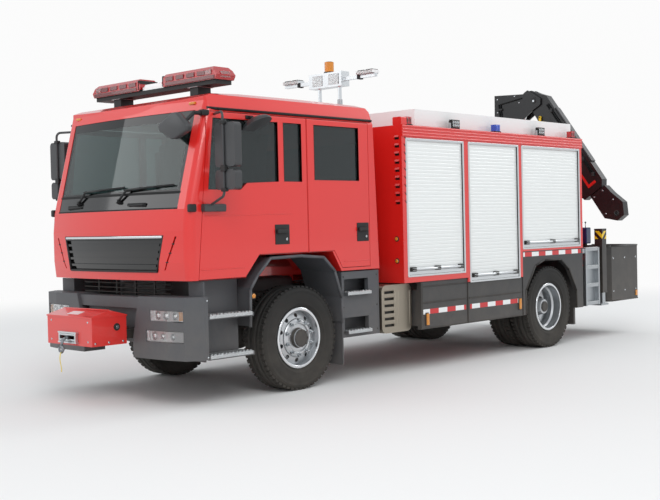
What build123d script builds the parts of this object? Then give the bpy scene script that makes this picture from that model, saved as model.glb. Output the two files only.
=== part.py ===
from build123d import *
import math
import os

# Rescue truck for an airport: a crew cab, a body with six roller shutters, a light mast and a rear crane.
# Millimetres. +X is forward, +Y is the truck's left and +Z is up.
# Stations along X are measured from the front axle, and every piece is moved at the end
# so that the origin lies on the ground under the middle of the whole truck.

# Chassis
FRONT_AXLE_X = 2440
WHEELBASE = 4425
REAR_X = -WHEELBASE
TYRE_R = 522
TYRE_HALF_WIDTH = 149
BEAD_R = 290
RIM_HALF_WIDTH = 114
FLANGE_R = 306
FRONT_TRACK_Y = 950
KINGPIN_Y = 800
DUAL_OUTER_Y = 1090
DUAL_INNER_Y = 760
FRONT_SPINDLE_R = 45
REAR_SPINDLE_R = 55
RUNNING_FIT = 0.05
RAIL_OUTER_Y = 425
RAIL_WIDTH = 80
RAIL_Z0 = 690
RAIL_Z1 = 960
RAIL_WALL = 8
FRAME_FRONT_X = 1280
FRAME_REAR_X = -6760

# Cab
CAB_HALF_WIDTH = 1120
CAB_FRONT_X = 1500
NOSE_CROWN = 68
NOSE_CORNER_R = 90
CAB_REAR_X = -1200
CAB_BOTTOM_Z = 1165
CAB_FLOOR_Z = 1440
ARCH_TOP_Z = 1372
ROOF_Z = 2930
WALL = 50
DOOR_GAP = 6
DOOR_TOP_Z = 2712
SPLIT_X = -120
DOOR_FOOT_X = 1314
DOOR_HEAD_X = 1162
DOOR_REAR_X = -1050
GLASS = 6

# Equipment body
BODY_HALF_WIDTH = 1250
BODY_FRONT_X = -1460
BODY_REAR_X = -5250
BODY_ROOF_Z = 2712
GUTTER_Z = 2585
SHUTTER_TOP_Z = 2556
SHUTTERS = {1: (-2590, -1530, 1070), 2: (-3730, -2680, 950), 3: (-5190, -3800, 1300)}
SHUTTER_THICKNESS = 22
BODY_FLOOR_Z = 940
ARCH_FLOOR_Z = 1255
SKIRT_Z0 = 457
SKIRT_Z1 = 985
PARAPET_Z = 2920
LOUVRES = 9
LOUVRE_Z0 = 1850
LOUVRE_PITCH = 88

# Light mast
MAST_X = -1680
MAST_Y = 160
MAST_TUBE_R = 30
MAST_ROD_R = 22
MAST_TUBE_Z0 = 1980
MAST_TUBE_Z1 = 3100

# Crane, drawn folded in the plane X = CRANE_X, as (y, z) pairs
CRANE_X = -6400
SLEW_Z = 1365
LUFF_PIN = (-560, 2150)
KNUCKLE_PIN = (-140, 3420)
LUFF_FOOT = (240, 1470)
LUFF_EYE = (-310, 2450)
FOLD_FOOT = (-680, 2520)
OUTER_ANGLE = -55.4
LEVER = 128
CHEEK_IN = 75
CHEEK_OUT = 100
OUTER_HALF = 70
FORK_HALF = 40
EYE_R = 44
EYE_HALF = 34
EXTENSION_HALF = 50
PIN_R = 22
HOOK_PIN = (2150, 110)
HOOK_PIN_R = 20

# Stabilisers
STAB_X = -5830
STAB_BEAM_Z = 1050
STAB_LEG_Y = 1190

# Bolt holes for a tow coupling in the tail beam
TOW_HOLES_Y = 160
TOW_HOLES_Z = 100
TOW_HOLE_R = 10.5

# Winch at the front
WINCH_X0 = 1580
WINCH_X1 = 1965
WINCH_HALF = 365
WINCH_Z0 = 577
WINCH_Z1 = 837

SIDES = {"left": 1, "right": -1}


def block(x0, x1, y0, y1, z0, z1):
    """A box between two corners."""
    centre = Pos((x0 + x1) / 2, (y0 + y1) / 2, (z0 + z1) / 2)
    return centre * Box(abs(x1 - x0), abs(y1 - y0), abs(z1 - z0))


def side_plate(points, y0, y1):
    """An outline of (x, z) points, as thick as y0 to y1."""
    low, high = sorted((y0, y1))
    return extrude(Plane.XZ.offset(-high) * make_face(Polyline(*points, close=True)), high - low)


def cross_plate(points, x0, x1):
    """An outline of (y, z) points, as thick as x0 to x1."""
    return extrude(Plane.YZ.offset(x0) * make_face(Polyline(*points, close=True)), x1 - x0)


def floor_plate(points, z0, z1):
    """An outline of (x, y) points, as thick as z0 to z1."""
    return extrude(Plane.XY.offset(z0) * make_face(Polyline(*points, close=True)), z1 - z0)


def bar(start, end, radius):
    """A round bar from one point to another."""
    a, b = Vector(*start), Vector(*end)
    return extrude(Plane(origin=a, z_dir=b - a) * Circle(radius), (b - a).length)


def bent_tube(points, radius, bend):
    """A round tube along straight runs with arcs at its corners."""
    path = FilletPolyline(*points, radius=bend)
    return sweep(Plane(origin=path @ 0, z_dir=path % 0) * Circle(radius), path=path)


def cross_bar(y, z, radius, x0, x1):
    """A round bar along X at one (y, z)."""
    return bar((x0, y, z), (x1, y, z), radius)


def spun(points, x, y, z, facing=1):
    """A closed outline of (radius, y) points turned about a wheel's axis, +y outboard."""
    solid = revolve(make_face(Polyline(*[(r, w * facing) for r, w in points], close=True)), Axis.Y)
    return Pos(x, y, z) * solid


def rounded(solid, radius, axis):
    """The same solid with its edges along one axis rounded."""
    return fillet(solid.edges().filter_by(axis), radius)


def flipped(solid):
    """The right-hand twin of a left-hand piece."""
    return mirror(solid, Plane.XZ)


def both(solid):
    """A left-hand piece and its right-hand twin."""
    return [solid, flipped(solid)]


def on_side(solid, side):
    """A left-hand piece, put on the side that is asked for."""
    return solid if side == 1 else flipped(solid)


os.makedirs("parts", exist_ok=True)


def save(name, *pieces):
    """Write one piece, moved from the front axle's datum to the truck's own origin."""
    solids = [Pos(FRONT_AXLE_X, 0, 0) * s for p in pieces for s in p.solids()]
    export_step(Compound(children=solids) if len(solids) > 1 else solids[0], f"parts/{name}.step")


# Frame

def frame_rails():
    """Two channel rails, their cross members and the arms that carry the winch."""
    rail = block(FRAME_REAR_X, FRAME_FRONT_X, RAIL_OUTER_Y - RAIL_WIDTH, RAIL_OUTER_Y, RAIL_Z0, RAIL_Z1)
    rail -= block(FRAME_REAR_X - 1, FRAME_FRONT_X + 1, RAIL_OUTER_Y - RAIL_WIDTH - 1,
                  RAIL_OUTER_Y - RAIL_WALL, RAIL_Z0 + RAIL_WALL, RAIL_Z1 - RAIL_WALL)
    whole = rail + flipped(rail)
    inner = RAIL_OUTER_Y - RAIL_WALL
    for x in (1180, -1900, -2900, -5300, -6700):
        whole += block(x - 45, x + 45, -inner, inner, RAIL_Z1 - 110, RAIL_Z1 - 20)
    arm = block(FRAME_FRONT_X - 60, WINCH_X0, 260, 340, 620, 700)
    arm += block(FRAME_FRONT_X - 60, FRAME_FRONT_X, 260, RAIL_OUTER_Y, 620, 760)
    whole += arm + flipped(arm)
    whole += block(FRAME_FRONT_X - 60, FRAME_FRONT_X, -300, 300, 640, 700)
    return whole


def leaf_spring(x, half_length, seat_z):
    """A stack of three leaves under the rail, bowed by steps, with its shackle eyes."""
    y0, y1 = RAIL_OUTER_Y - RAIL_WIDTH, RAIL_OUTER_Y - 4
    pack = None
    for i, share in enumerate((1.0, 0.75, 0.45)):
        top = seat_z + 42 - i * 14
        leaf = block(x - half_length * share, x + half_length * share, y0, y1, top - 14, top)
        pack = leaf if pack is None else pack + leaf
    for end in (-1, 1):
        at = x + end * half_length
        pack += block(at - 20, at + 20, y0, y1, seat_z + 28, RAIL_Z0)
    return pack


def front_axle():
    """Driven front axle: beam, differential, the yokes that hold the kingpins, and its springs."""
    beam = bar((0, -725, TYRE_R), (0, 725, TYRE_R), 62)
    case = Pos(0, 150, TYRE_R) * Sphere(165)
    nose = bar((-230, 150, TYRE_R), (0, 150, TYRE_R), 85)
    whole = beam + case + nose
    for side in (1, -1):
        y = side * KINGPIN_Y
        for lift in (-1, 1):
            z = TYRE_R + lift * 137
            arm = Pos(0, y, z) * Cylinder(52, 30)
            arm += block(-50, 50, side * 690, y, z - 15, z + 15)
            whole += arm
        whole += block(-50, 50, side * 690, side * 725, TYRE_R - 152, TYRE_R + 152)
        whole += Pos(0, y, TYRE_R) * Cylinder(22, 250)
    for side in (1, -1):
        y0, y1 = sorted((side * 330, side * 430))
        whole += block(-70, 70, y0, y1, TYRE_R, 600)
    spring = leaf_spring(0, 620, 600)
    return whole + spring + flipped(spring)


def rear_axle():
    """Rear axle housing with its differential, spindles and springs."""
    whole = bar((REAR_X, -600, TYRE_R), (REAR_X, 600, TYRE_R), 78)
    whole += Pos(REAR_X, 0, TYRE_R) * Sphere(200)
    whole += bar((REAR_X, 0, TYRE_R), (REAR_X + 300, 0, TYRE_R), 85)
    whole += bar((REAR_X, -1130, TYRE_R), (REAR_X, 1130, TYRE_R), REAR_SPINDLE_R)
    for side in (1, -1):
        y0, y1 = sorted((side * 330, side * 430))
        whole += block(REAR_X - 75, REAR_X + 75, y0, y1, TYRE_R, 600)
    spring = leaf_spring(REAR_X, 700, 600)
    return whole + spring + flipped(spring)


def driveline():
    """Gearbox behind the engine, transfer case and the shafts to both axles."""
    gearbox = block(-800, -20, -190, 190, 700, 1090)
    gearbox = rounded(gearbox, 60, Axis.X)
    transfer = rounded(block(-1780, -1560, -260, 220, 560, 900), 50, Axis.X)
    shaft = bar((-800, 0, 880), (-1560, 0, 780), 45)
    rear = bar((-1780, 0, 740), (REAR_X + 310, 0, TYRE_R), 50)
    front = bar((-1560, 150, 640), (-236, 150, TYRE_R), 40)
    return [gearbox + transfer + shaft + rear + front]


def engine_block():
    """The engine as one plain block, in the tunnel under the cab floor."""
    return rounded(block(-10, 1080, -330, 330, 745, 1340), 60, Axis.X)


# Wheels

TYRE_OUTLINE = [
    (BEAD_R, -RIM_HALF_WIDTH), (FLANGE_R, -RIM_HALF_WIDTH), (325, -132), (365, -145), (410, -TYRE_HALF_WIDTH),
    (455, -146), (492, -136), (512, -124), (TYRE_R, -104),
    (TYRE_R, 104), (512, 124), (492, 136), (455, 146),
    (410, TYRE_HALF_WIDTH), (365, 145), (325, 132), (FLANGE_R, RIM_HALF_WIDTH), (BEAD_R, RIM_HALF_WIDTH),
]


def tyre(x, y):
    return spun(TYRE_OUTLINE, x, y, TYRE_R)


def rim_barrel(x, y, facing):
    """The drop-centre ring that the tyre sits on, with its two flanges."""
    w = RIM_HALF_WIDTH
    ring = [(BEAD_R, -w), (FLANGE_R - 0.5, -w), (FLANGE_R - 0.5, -w - 12), (BEAD_R - 16, -w - 12),
            (BEAD_R - 16, -60), (BEAD_R - 34, -40), (BEAD_R - 34, 10), (BEAD_R - 16, 30),
            (BEAD_R - 16, w + 12), (FLANGE_R - 0.5, w + 12), (FLANGE_R - 0.5, w), (BEAD_R, w)]
    return spun(ring, x, y, TYRE_R, facing)


def hand_holes(x, y, radius, size, count):
    """Round holes through a wheel's disc."""
    holes = [Pos(x + radius * math.cos(a), y, TYRE_R + radius * math.sin(a)) * Rot(90, 0, 0) * Cylinder(size, 260)
             for a in [2 * math.pi * (i + 0.5) / count for i in range(count)]]
    return holes


def front_rim(side):
    """Front wheel: barrel, bulged disc with ten hand holes, hub and brake disc, bored for the spindle."""
    y = side * FRONT_TRACK_Y
    disc = [(278, 32), (278, 48), (262, 62), (232, 78), (190, 92), (172, 104), (120, 108), (60, 108), (60, 92),
            (120, 92), (165, 88), (186, 76), (228, 62), (252, 48), (262, 32)]
    hub = [(FRONT_SPINDLE_R + RUNNING_FIT, -78), (112, -78), (112, 60), (135, 70), (135, 92), (96, 108),
           (92, 150), (70, 160), (0, 160), (0, 62), (FRONT_SPINDLE_R + RUNNING_FIT, 62)]
    brake = [(100, -30), (215, -30), (215, 4), (100, 4)]
    bulge = spun(disc, 0, y, TYRE_R, side)
    for hole in hand_holes(0, y + side * 70, 224, 22, 10):
        bulge -= hole
    return rim_barrel(0, y, side) + bulge + spun(hub, 0, y, TYRE_R, side) + spun(brake, 0, y, TYRE_R, side)


def rear_rims(side):
    """Twin rear wheels on one hub: the outer disc is dished deep, the inner one is its mirror."""
    outer, inner = side * DUAL_OUTER_Y, side * DUAL_INNER_Y
    middle = side * (DUAL_OUTER_Y + DUAL_INNER_Y) / 2
    dish = [(278, 55), (262, 55), (232, 30), (180, 16), (60, 16), (60, -16), (180, -16), (232, -30), (262, -55),
            (278, -55), (278, -44), (236, -14), (184, 0), (236, 14), (278, 44)]
    hub = [(REAR_SPINDLE_R + RUNNING_FIT, -60), (140, -60), (205, -60), (205, -245), (190, -245), (190, -72),
           (150, -72), (150, 30), (120, 34), (112, 150), (92, 222), (0, 236), (0, 208),
           (REAR_SPINDLE_R + RUNNING_FIT, 208)]
    discs = spun(dish, REAR_X, middle, TYRE_R)
    for hole in hand_holes(REAR_X, middle, 228, 24, 8):
        discs -= hole
    whole = discs + spun(hub, REAR_X, middle, TYRE_R, side)
    return whole + rim_barrel(REAR_X, outer, side) + rim_barrel(REAR_X, inner, -side)


def knuckle(side):
    """Steering knuckle: boss on the kingpin and the spindle that carries the hub."""
    y = side * KINGPIN_Y
    boss = Pos(0, y, TYRE_R) * Cylinder(58, 232)
    neck = bar((0, y, TYRE_R), (0, side * 866, TYRE_R), 62)
    spindle = bar((0, y, TYRE_R), (0, side * 1008, TYRE_R), FRONT_SPINDLE_R)
    return boss + neck + spindle - Pos(0, y, TYRE_R) * Cylinder(22 + RUNNING_FIT, 300)


# Cab

# The nose in the side view: how far each height lies from the foremost point.
NOSE = [(-20, 1150), (0, 1330), (0, 1620), (-20, 1820), (-279, 2820)]
# Side views of the cab's outer skin and of its room; both reach past the nose, which the plan cuts.
CAB_SIDE = [
    (1700, CAB_BOTTOM_Z), (1700, 1715), (1240, 2750), (1200, 2840), (1060, 2890), (600, 2925), (-200, ROOF_Z),
    (-1050, 2915), (-1130, 2840), (CAB_REAR_X, CAB_BOTTOM_Z), (-600, CAB_BOTTOM_Z), (-470, ARCH_TOP_Z),
    (560, ARCH_TOP_Z), (740, CAB_BOTTOM_Z),
]
CAB_INSIDE = [
    (1340, CAB_FLOOR_Z), (1340, 1780), (1440, 1830), (1700, 1830), (1700, 2044), (1190, 2700), (1120, 2790),
    (600, 2862), (-200, 2868), (-1020, 2855), (-1080, 2800), (-1125, CAB_FLOOR_Z),
]
# The doors reach below the floor, so their inner face goes on down there.
ROOM_BESIDE_DOOR = [(1700, 1100), (1700, 2868), (-1180, 2868), (-1180, 1100)]
FRONT_DOOR = [
    (DOOR_FOOT_X, 1172), (DOOR_HEAD_X, DOOR_TOP_Z), (SPLIT_X + 8, DOOR_TOP_Z), (SPLIT_X + 8, ARCH_TOP_Z + 8),
    (556, ARCH_TOP_Z + 8), (742, 1172),
]
REAR_DOOR = [
    (SPLIT_X - 8, DOOR_TOP_Z), (DOOR_REAR_X, DOOR_TOP_Z), (DOOR_REAR_X, 1200), (-618, 1200),
    (-500, ARCH_TOP_Z + 8), (SPLIT_X - 8, ARCH_TOP_Z + 8),
]
FRONT_WINDOW = [(1180, 1995), (1105, 2655), (280, 2655), (280, 2078), (700, 2060), (780, 1995)]
QUARTER_WINDOW = [(205, 2080), (205, 2655), (-45, 2655), (-45, 2080)]
WINDSCREEN = [(-962, 1980), (-972, 2732), (972, 2732), (962, 1980)]
SCUTTLE = [(-962, 1828), (-962, 1974), (962, 1974), (962, 1828)]
GRILLE_HOLE = [(-700, 1238), (-800, 1585), (800, 1585), (700, 1238)]
CORNER_SLOT = [(795, 1262), (812, 1262), (968, 1572), (944, 1572)]
REAR_WINDOW = [(-225, 2100), (-225, 2655), (-900, 2655), (-900, 2100)]


def grown(points, by):
    """The same outline, by that much larger all round."""
    wire = Polyline(*points, close=True)
    return offset(make_face(wire), by, kind=Kind.INTERSECTION)


def side_cut(points, by, y0, y1):
    """A plate from an outline that is grown or shrunk first."""
    low, high = sorted((y0, y1))
    return extrude(Plane.XZ.offset(-high) * grown(points, by), high - low)


def cab_plan(inset):
    """The cab seen from above: a crowned front that turns into the sides by tangent corners."""
    w, front, back = CAB_HALF_WIDTH - inset, CAB_FRONT_X - inset, CAB_REAR_X - 20
    radius = NOSE_CORNER_R - inset / 2
    end_x, end_y = front - NOSE_CROWN, w - radius
    side_x = end_x - radius
    sides = Polyline((side_x, w), (back, w), (back, -w), (side_x, -w))
    right = TangentArc((side_x, -w), (end_x, -end_y), tangent=(1, 0))
    nose = ThreePointArc((end_x, -end_y), (front, 0), (end_x, end_y))
    left = TangentArc((side_x, w), (end_x, end_y), tangent=(1, 0))
    return make_face(Curve() + [sides, right, nose, left])


def cab_prism(inset):
    """The plan drawn up along the leaning nose, one stretch after the other."""
    whole = None
    for (x0, z0), (x1, z1) in zip(NOSE, NOSE[1:]):
        path = Vector(x1 - x0, 0, z1 - z0)
        stretch = extrude(Pos(x0, 0, z0) * cab_plan(inset), path.length, dir=path.normalized())
        whole = stretch if whole is None else whole + stretch
    top_x, top_z = NOSE[-1]
    return whole + extrude(Pos(top_x, 0, top_z) * cab_plan(inset), 200)


def cab_section(inset, top):
    """The cab seen from the front: upright sides and rounded roof edges."""
    w = CAB_HALF_WIDTH - inset
    outline = Polyline((-w, 1000), (-w, 2700), (-w + 60, top - 55), (-w + 240, top), (w - 240, top),
                       (w - 60, top - 55), (w, 2700), (w, 1000), close=True)
    return make_face(outline)


def cab_solid(points, inset, top):
    """The common volume of the side view, the plan and the front view."""
    solid = side_plate(points, -1300, 1300) & cab_prism(inset)
    return solid & extrude(Plane.YZ.offset(-1400) * cab_section(inset, top), 3200)


def cab_skin():
    return cab_solid(CAB_SIDE, 0, ROOF_Z + 5)


def cab_room():
    return cab_solid(CAB_INSIDE, WALL, 2870)


def nose_band(outline, depth, thickness):
    """A panel of even thickness that follows the crowned nose, some way behind its outer skin."""
    skin = cab_skin()
    layer = (Pos(-depth, 0, 0) * skin) - (Pos(-depth - thickness, 0, 0) * skin)
    return layer & cross_plate(outline, 1080, 1700)


def cab_shell():
    """Hollow crew cab: floor, roof, walls and pillars, open at its doors and windscreen, recessed at its grille."""
    shell = cab_skin() - cab_room()
    # The skirt under the floor is a thin wall, open below.
    shell -= block(790, 1330, -1060, 1060, 1100, 1385)
    shell -= block(-1150, -640, -1060, 1060, 1100, 1385)
    shell -= block(-1150, 1330, -400, 400, 1100, 1385)
    for side in (1, -1):
        near, far = side * (CAB_HALF_WIDTH - WALL - 20), side * (CAB_HALF_WIDTH + 60)
        shell -= side_cut(FRONT_DOOR, DOOR_GAP, near, far)
        shell -= side_cut(REAR_DOOR, DOOR_GAP, near, far)
    shell -= cross_plate(GRILLE_HOLE, 1390, 1700)
    slot = nose_band(CORNER_SLOT, -60, 90)
    shell -= slot + flipped(slot)
    shell -= nose_band(SCUTTLE, -60, 82)
    return shell - cross_plate(WINDSCREEN, 1080, 1700)


def cab_glass():
    """The windscreen: an even pane that follows the cab's crowned front, set just inside its outer skin."""
    return nose_band(WINDSCREEN, 6, GLASS)


def door(side, outline, windows):
    """A door cut out of the cab's own wall, so that it turns with the corner, with its windows cut."""
    near, far = side * (CAB_HALF_WIDTH - WALL - 20 + DOOR_GAP), side * (CAB_HALF_WIDTH + 60)
    cutter = side_plate(outline, near, far)
    panel = (cab_skin() & cutter) - cab_solid(ROOM_BESIDE_DOOR, WALL, 2870)
    for window in windows:
        panel -= side_plate(window, side * 1000, side * 1200)
    return panel


def door_glass(side, windows):
    """Panes set in the middle of the door."""
    y0 = CAB_HALF_WIDTH - 28
    panes = [side_plate(window, side * y0, side * (y0 + GLASS)) for window in windows]
    return panes


def mirror_set(side):
    """Main and wide-angle mirrors on a bent tube, with the foot on the door."""
    foot = rounded(block(1010, 1270, 1120, 1172, 1790, 1862), 20, Axis.X)
    main = rounded(block(1085, 1170, 1215, 1485, 2190, 2590), 38, Axis.X)
    wide = rounded(block(1085, 1170, 1215, 1480, 1985, 2165), 38, Axis.X)
    arm = bent_tube([(1180, 1150, 1850), (1180, 1340, 1930), (1180, 1340, 2690), (1085, 1120, 2690)], 12, 50)
    # The slanting end of the arm is cut flush with the door.
    arm -= block(1000, 1200, 1060, CAB_HALF_WIDTH, 2600, 2760)
    whole = foot + main + wide + arm
    return on_side(whole, side)


def cab_interior():
    """Seats, dashboard and steering wheel."""
    pieces = []
    for y in (-560, 560):
        seat = rounded(block(180, 700, y - 250, y + 250, CAB_FLOOR_Z + 0.5, 1860), 60, Axis.Y)
        back = side_plate([(180, 1800), (330, 1800), (230, 2560), (110, 2560)], y - 240, y + 240)
        pieces.append(seat + back)
    bench = block(-900, -460, -1000, 1000, CAB_FLOOR_Z + 0.5, 1840)
    bench += side_plate([(-1010, 1780), (-850, 1780), (-920, 2500), (-1040, 2500)], -1000, 1000)
    pieces.append(bench)
    dash = side_plate([(1200, CAB_FLOOR_Z + 0.5), (1235, 1860), (1160, 1950), (1000, 1900), (960, 1700),
                       (1050, CAB_FLOOR_Z + 0.5)], -1020, 1020)
    wheel = Plane((890, 560, 1950), z_dir=(-0.6, 0, 1)) * Torus(205, 17)
    wheel += bar((890, 560, 1950), (1010, 560, 1750), 30)
    hub = Plane((890, 560, 1950), z_dir=(-0.6, 0, 1)) * Box(60, 400, 24)
    pieces.append(dash + wheel + hub)
    return pieces


def grille():
    """Grille: a black panel that follows the nose, four cross bars and a bright strip along its top."""
    whole = nose_band([(-692, 1246), (-790, 1577), (790, 1577), (692, 1246)], 24, 24)
    for i in range(4):
        z = 1290 + i * 65
        w = 670 + (z - 1246) * 0.28
        whole += nose_band([(-w, z), (-w - 6, z + 22), (w + 6, z + 22), (w, z)], 4, 21)
    whole += nose_band([(-770, 1548), (-778, 1574), (778, 1574), (770, 1548)], -4, 29)
    # Two pads seat the panel on the wall behind it.
    for y in (-500, 500):
        whole += block(1390, 1445, y - 40, y + 40, 1300, 1500)
    return whole


def scuttle():
    """Black panel under the windscreen, and the two wiper spindles on it."""
    whole = nose_band([(-958, 1832), (-958, 1970), (958, 1970), (958, 1832)], 4, 18)
    for x, y in ((1427, -560), (1446, 130)):
        whole += bar((x, y, 1905), (x + 45, y, 1917), 16)
    return whole


def bumper():
    """Three-part bumper: raised corner pods with lamp recesses, and a low centre."""
    outline = [(1290, 400), (1290, 1205), (1335, 1205), (1480, 1105), (1520, 900), (1535, 500), (1535, 400)]
    pod = floor_plate(outline, 445, 1020)
    pod -= cross_plate([(300, 430), (300, 1030), (505, 1030), (470, 900), (395, 590), (395, 440)], 1250, 1600)
    pod -= block(1455, 1600, 660, 1085, 795, 900)
    pod -= block(1455, 1600, 600, 1085, 605, 712)
    middle = block(1345, 1505, -520, 520, 905, 1008) + block(1345, 1450, -420, 420, 720, 906)
    lip = floor_plate([(1345, 130), (1345, 420), (1500, 420), (1420, 130)], 575, 610)
    lip += block(1345, 1380, 130, 420, 575, 720)
    whole = pod + flipped(pod) + middle + lip + flipped(lip)
    for side in (1, -1):
        y0, y1 = sorted((side * 250, side * 350))
        whole -= block(1250, 1460, y0, y1, 610, 710)
    return whole


def front_lamps():
    """Head and fog lamps in the bumper's recesses."""
    pieces = []
    for side in (1, -1):
        for y0, z0, z1 in ((665, 800, 895), (605, 610, 707)):
            lamp = floor_plate([(1456, y0), (1456, 1082), (1478, 1082), (1514, 900), (1526, y0)], z0, z1)
            pieces.append(on_side(lamp, side))
    return pieces


def front_fenders():
    """Arch liners over the front wheels, with their flaps, the dark skirts and the cab steps."""
    arch = [(-590, 640), (-590, 900), (-490, 1180), (-330, 1325), (0, 1352), (420, 1345), (600, 1180), (690, 1060),
            (700, 700)]
    inner = [(685, 700), (675, 1055), (588, 1172), (414, 1330), (0, 1337), (-324, 1310), (-477, 1172), (-575, 896),
             (-575, 640)]
    guard = side_plate(arch + inner, 640, 1128)
    guard += block(-604, -590, 700, 1120, 190, 900)
    # Front steps between the bumper and the arch
    well = block(700, 1284, 930, 945, 420, 1150) + block(1270, 1284, 930, 1140, 420, 1150)
    for z in (841, 473):
        well += block(715, 1275, 940, 1190, z - 35, z)
    rear = block(-1195, -604, 1060, 1110, 465, 1150)
    for z in (933, 530):
        rear -= block(-1020, -640, 1050, 1120, z - 20, z + 140)
        rear += block(-1020, -640, 940, 1160, z - 30, z)
    rear += block(-1195, -604, 925, 940, 465, 1150) + block(-1195, -1180, 925, 1110, 465, 1150)
    # Brackets back to the frame rail
    brackets = block(900, 960, RAIL_OUTER_Y, 932, 780, 840) + block(-940, -880, RAIL_OUTER_Y, 932, 780, 840)
    whole = guard + well + rear + brackets
    return both(whole)


def light_bar():
    """Beacon bar on two feet: two long red modules and a low middle."""
    x0, x1 = 700, 940
    base = block(x0 + 20, x1 - 20, -960, 960, 3000, 3040)
    module = cross_plate([(195, 3041), (175, 3080), (210, 3165), (930, 3165), (1000, 3085), (975, 3041)], x0, x1)
    module = chamfer(module.edges().filter_by(Axis.Y).group_by(Axis.Z)[-1], 30)
    foot = side_plate([(x0 + 40, 2914.6), (x1 - 40, 2902.5), (x1 - 40, 3000), (x0 + 40, 3000)], 560, 680)
    low = block(x0 + 30, x1 - 30, -170, 170, 3040, 3075)
    return [base + foot + flipped(foot) + module + flipped(module) + low]


# Equipment body

def body_shell():
    """Hollow body: front and rear walls, posts, floor, roof and partitions, open at six shutters."""
    w = BODY_HALF_WIDTH
    outline = [(BODY_FRONT_X, BODY_FLOOR_Z + 50), (BODY_FRONT_X, BODY_ROOF_Z), (BODY_REAR_X, BODY_ROOF_Z),
               (BODY_REAR_X, ARCH_FLOOR_Z), (-3790, ARCH_FLOOR_Z), (-3790, BODY_FLOOR_Z),
               (-2640, BODY_FLOOR_Z), (-2640, BODY_FLOOR_Z + 50)]
    shell = side_plate(outline, -w, w)
    # A belly tunnel leaves room for the frame rails.
    shell -= block(BODY_REAR_X - 10, BODY_FRONT_X + 10, -470, 470, 900, 1060)
    floors = {1: 1060, 2: 1000, 3: 1290}
    for number, (x0, x1, sill) in SHUTTERS.items():
        floor = floors[number]
        for side in (1, -1):
            y0, y1 = sorted((side * 15, side * (w - 60)))
            low = max(floor, 1090)
            shell -= block(x0 - 15, x1 + 15, y0, y1, low, 2640)
            if number == 2:
                y2, y3 = sorted((side * 500, side * (w - 60)))
                shell -= block(x0 - 15, x1 + 15, y2, y3, floor - 20, low)
            y4, y5 = sorted((side * (w - 61), side * (w + 1)))
            shell -= block(x0, x1, y4, y5, sill, SHUTTER_TOP_Z)
    gutter = block(BODY_REAR_X, BODY_FRONT_X, w, w + 12, GUTTER_Z, BODY_ROOF_Z)
    shell += gutter + flipped(gutter)
    for side in (1, -1):
        shell -= Pos(MAST_X, side * MAST_Y, 2660) * Cylinder(MAST_TUBE_R + 1, 200)
    # Corner posts that stand above the roof, and the louvres in the front wall beside the cab
    post = rounded(block(BODY_FRONT_X - 95, BODY_FRONT_X, 1130, w, BODY_ROOF_Z - 1, BODY_ROOF_Z + 88), 14, Axis.X)
    shell += post + flipped(post)
    for i in range(LOUVRES):
        z = LOUVRE_Z0 + i * LOUVRE_PITCH
        louvre = block(BODY_FRONT_X - 18, BODY_FRONT_X + 1, 1150, 1215, z, z + LOUVRE_PITCH * 0.55)
        shell -= louvre + flipped(louvre)
    return shell


def roof_parapet():
    """Aluminium side boards round the roof deck, with a walkway plate between them."""
    z0 = BODY_ROOF_Z
    whole = block(BODY_REAR_X + 20, BODY_FRONT_X - 420, 1090, 1104, z0, PARAPET_Z)
    whole += flipped(whole)
    whole += block(BODY_REAR_X + 20, BODY_REAR_X + 34, -1104, 1104, z0, PARAPET_Z)
    whole += block(BODY_FRONT_X - 434, BODY_FRONT_X - 420, -1104, 1104, z0, PARAPET_Z)
    whole += block(BODY_REAR_X + 20, BODY_FRONT_X - 420, -1104, 1104, z0, z0 + 4)
    return whole


def shutter(number, side):
    """Roller shutter with its bottom rail and full-width grab bar."""
    x0, x1, sill = SHUTTERS[number]
    outer = BODY_HALF_WIDTH - 14
    curtain = block(x0 + 12, x1 - 12, outer - SHUTTER_THICKNESS, outer, sill + 3, SHUTTER_TOP_Z - 3)
    rail = block(x0 + 12, x1 - 12, outer, outer + 10, sill + 3, sill + 42)
    grab = bar((x0 + 60, outer + 26, sill + 62), (x1 - 60, outer + 26, sill + 62), 14)
    for x in (x0 + 90, (x0 + x1) / 2, x1 - 90):
        grab += block(x - 22, x + 22, outer - 5, outer + 30, sill + 42, sill + 82)
    return on_side(curtain + rail + grab, side)


def side_skirts():
    """Dark lower panels between the axles and the panels with eight-sided wheel arches."""
    w = BODY_HALF_WIDTH
    skirt = block(-3790, -1750, w - 60, w - 14, SKIRT_Z0, BODY_FLOOR_Z - 0.5)
    skirt += block(-2640, -1750, w - 60, w - 14, BODY_FLOOR_Z - 1, SKIRT_Z1)
    skirt += block(-1790, -1750, RAIL_OUTER_Y + 60, w - 20, SKIRT_Z0 + 40, 900)
    skirt += block(-3790, -3750, RAIL_OUTER_Y + 60, w - 20, SKIRT_Z0 + 40, 900)
    arch = side_plate([(BODY_REAR_X, 460), (BODY_REAR_X, ARCH_FLOOR_Z - 0.5), (-3795, ARCH_FLOOR_Z - 0.5),
                       (-3795, 460)], w - 60, w - 6)
    hole = [(-3860, 400), (-3860, 770), (-4085, 1065), (-4300, 1130), (-4700, 1120), (-4900, 990), (-5085, 700),
            (-5085, 400)]
    arch -= side_plate(hole, w - 100, w + 10)
    arch += block(-5125, -5085, 590, w - 60, 235, 1200)
    arch += block(-3860, -3820, 590, w - 60, 500, 1200)
    hangers = block(-1790, -1750, RAIL_OUTER_Y, RAIL_OUTER_Y + 61, 800, 900)
    hangers += block(-3790, -3750, RAIL_OUTER_Y, RAIL_OUTER_Y + 61, 800, 900)
    low = block(-5125, -5085, RAIL_OUTER_Y, 591, 760, 900) + block(-3860, -3820, RAIL_OUTER_Y, 591, 760, 900)
    return both(skirt + hangers) + both(arch + low)


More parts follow.
